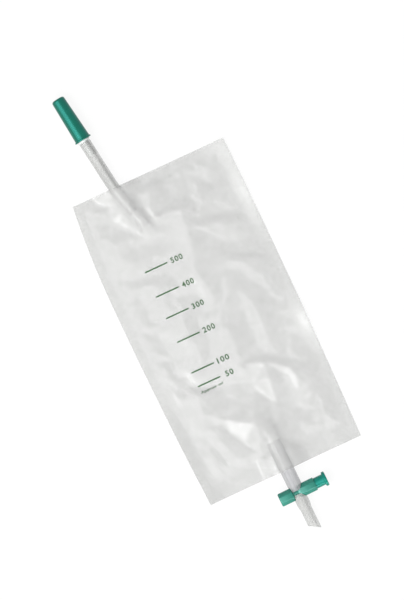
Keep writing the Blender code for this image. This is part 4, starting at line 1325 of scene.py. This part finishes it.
def word_mesh(text, centre_x, centre_y, width, height):
    """Bold lettering of this size as a thin solid lying flat."""
    curve = bpy.data.curves.new("word", "FONT")
    curve.body = text
    curve.offset = LETTER_BOLD
    curve.space_character = LETTER_SPACING
    curve.extrude = 0.5
    curve.resolution_u = LETTER_CURVE_STEPS
    word = object_of("word", curve)
    bpy.context.view_layer.update()
    mesh = bpy.data.meshes.new_from_object(word.evaluated_get(bpy.context.evaluated_depsgraph_get()))
    bpy.data.objects.remove(word)
    points = points_of(mesh)
    low, high = points.min(0), points.max(0)
    size = np.array((width, height, INK)) / (high - low)
    points = (points - (low + high) / 2) * size + (centre_x, centre_y, 0)
    mesh.vertices.foreach_set("co", points.ravel())
    return mesh


def merged(name, meshes):
    """One mesh from several."""
    shape = bmesh.new()
    for mesh in meshes:
        shape.from_mesh(mesh)
    return tidy_mesh(mesh_of(name, shape))


def make_scale(film, line_ink, number_ink):
    """The filling scale printed on the front film: a line and a number for each volume, and the units."""
    lay = lay_on_film()
    bars = bars_on_points()
    laid = {"Film": film, "Lift": INK / 2 + INK_LIFT}
    spots = bpy.data.meshes.new("scale_lines")
    spots.from_pydata([(SCALE_LINE_X, y * MM, 0) for y, _ in SCALE], [], [])
    size = {"Length": SCALE_LINE_LENGTH, "Width": SCALE_LINE_WIDTH, "Thickness": INK, "Ink": line_ink}
    print_on("scale_lines", spots, line_ink, [(bars, size), (lay, {**laid, "Divisions": 0, "Ink": line_ink})])
    words = [word_mesh(text, NUMBER_X, y * MM, NUMBER_WIDTHS[len(text)], NUMBER_HEIGHT) for y, text in SCALE]
    words.append(word_mesh("Approx ml", UNITS_X, UNITS_Y, UNITS_WIDTH, UNITS_HEIGHT))
    laid = {**laid, "Divisions": 2, "Ink": number_ink}
    print_on("scale_numbers", merged("scale_numbers", words), number_ink, [(lay, laid)])


def seen_directly(paint):
    """1 for camera, glossy and transmission rays."""
    kinds = ("Camera", "Glossy", "Transmission")
    rays = [paint.node("ShaderNodeLightPath", output=f"Is {kind} Ray") for kind in kinds]
    return rays[0] + rays[1] + rays[2]


def make_stage():
    """A white floor that keeps a soft shadow, a grey room that looks white, and the softboxes."""
    world = bpy.data.worlds.new("room")
    bpy.context.scene.world = world
    paint = Paint(world)
    strength = ROOM_GREY + seen_directly(paint) * (1 - ROOM_GREY)
    room = paint.node("ShaderNodeBackground", {"Color": (1, 1, 1, 1), "Strength": strength})
    paint.node("ShaderNodeOutputWorld", {"Surface": room})
    half = FLOOR_SIZE / 2
    corners = ((-half, -half), (half, -half), (half, half), (-half, half))
    mesh = bpy.data.meshes.new("floor")
    mesh.from_pydata([(x, y, -FLOOR_BELOW) for x, y in corners], [], [(0, 1, 2, 3)])
    floor = object_of("floor", mesh)
    paint = Paint("white_floor")
    bounce = paint.mix(seen_directly(paint), (FLOOR_BOUNCE,) * 3, (1, 1, 1))
    lit = paint.node("ShaderNodeBsdfDiffuse", {"Color": bounce})
    glow = paint.node("ShaderNodeEmission", {"Strength": 1.0})
    share = seen_directly(paint) * FLOOR_GLOW
    surface = paint.node("ShaderNodeMixShader", {0: share, 1: lit, 2: glow})
    paint.node("ShaderNodeOutputMaterial", {"Surface": surface})
    mesh.materials.append(paint.owner)
    for name, softbox in SOFTBOXES.items():
        make_softbox(name, *softbox)


def make_softbox(name, stands, tilt, distance, size, radiance):
    """A rectangular lamp that faces the origin, its first side across the way to it."""
    lamp = bpy.data.lights.new(name, "AREA")
    lamp.shape = "RECTANGLE"
    lamp.size, lamp.size_y = size
    lamp.energy = radiance * math.pi * size[0] * size[1]
    softbox = object_of(name, lamp)
    away = stands * math.sin(tilt) + Vector((0, 0, math.cos(tilt)))
    side = Vector((0, 0, 1)).cross(away).normalized()
    turn = Matrix((away.cross(side) * -1, side, away)).transposed()
    softbox.matrix_world = Matrix.Translation(away * distance) @ turn.to_4x4()
    softbox.visible_camera = False


def make_camera():
    """The photograph's view, and how many clear surfaces it sees through."""
    data = bpy.data.cameras.new("camera")
    data.lens = CAMERA_LENS
    camera = object_of("camera", data)
    camera.location = CAMERA_TARGET + Vector((0, 0, CAMERA_HEIGHT))
    camera.rotation_euler = (0, 0, CAMERA_TURN)
    bpy.context.scene.camera = camera
    bpy.context.scene.view_settings.view_transform = "Standard"
    bpy.context.scene.cycles.transparent_max_bounces = SURFACES_SEEN_THROUGH


def main():
    make_camera()
    make_stage()
    film = make_films(film_finish())
    make_scale(film, ink_finish("line_ink"), ink_finish("number_ink"))
    make_inlet_tube(tube_finish("clear_pvc_tube"))
    valve_clear = valve_finish()
    make_valve(valve_clear)
    make_connector(clear_plastic_finish())
    make_spigots(valve_clear)
    make_cap(moulded_finish("cap_green"))
    make_tap_body(moulded_finish("tap_body_green"))
    make_plunger(moulded_finish("plunger_green"))
    make_outlet_tubes(tube_finish("milky_pvc_tube"), tube_finish("clear_tail_tube"))


main()
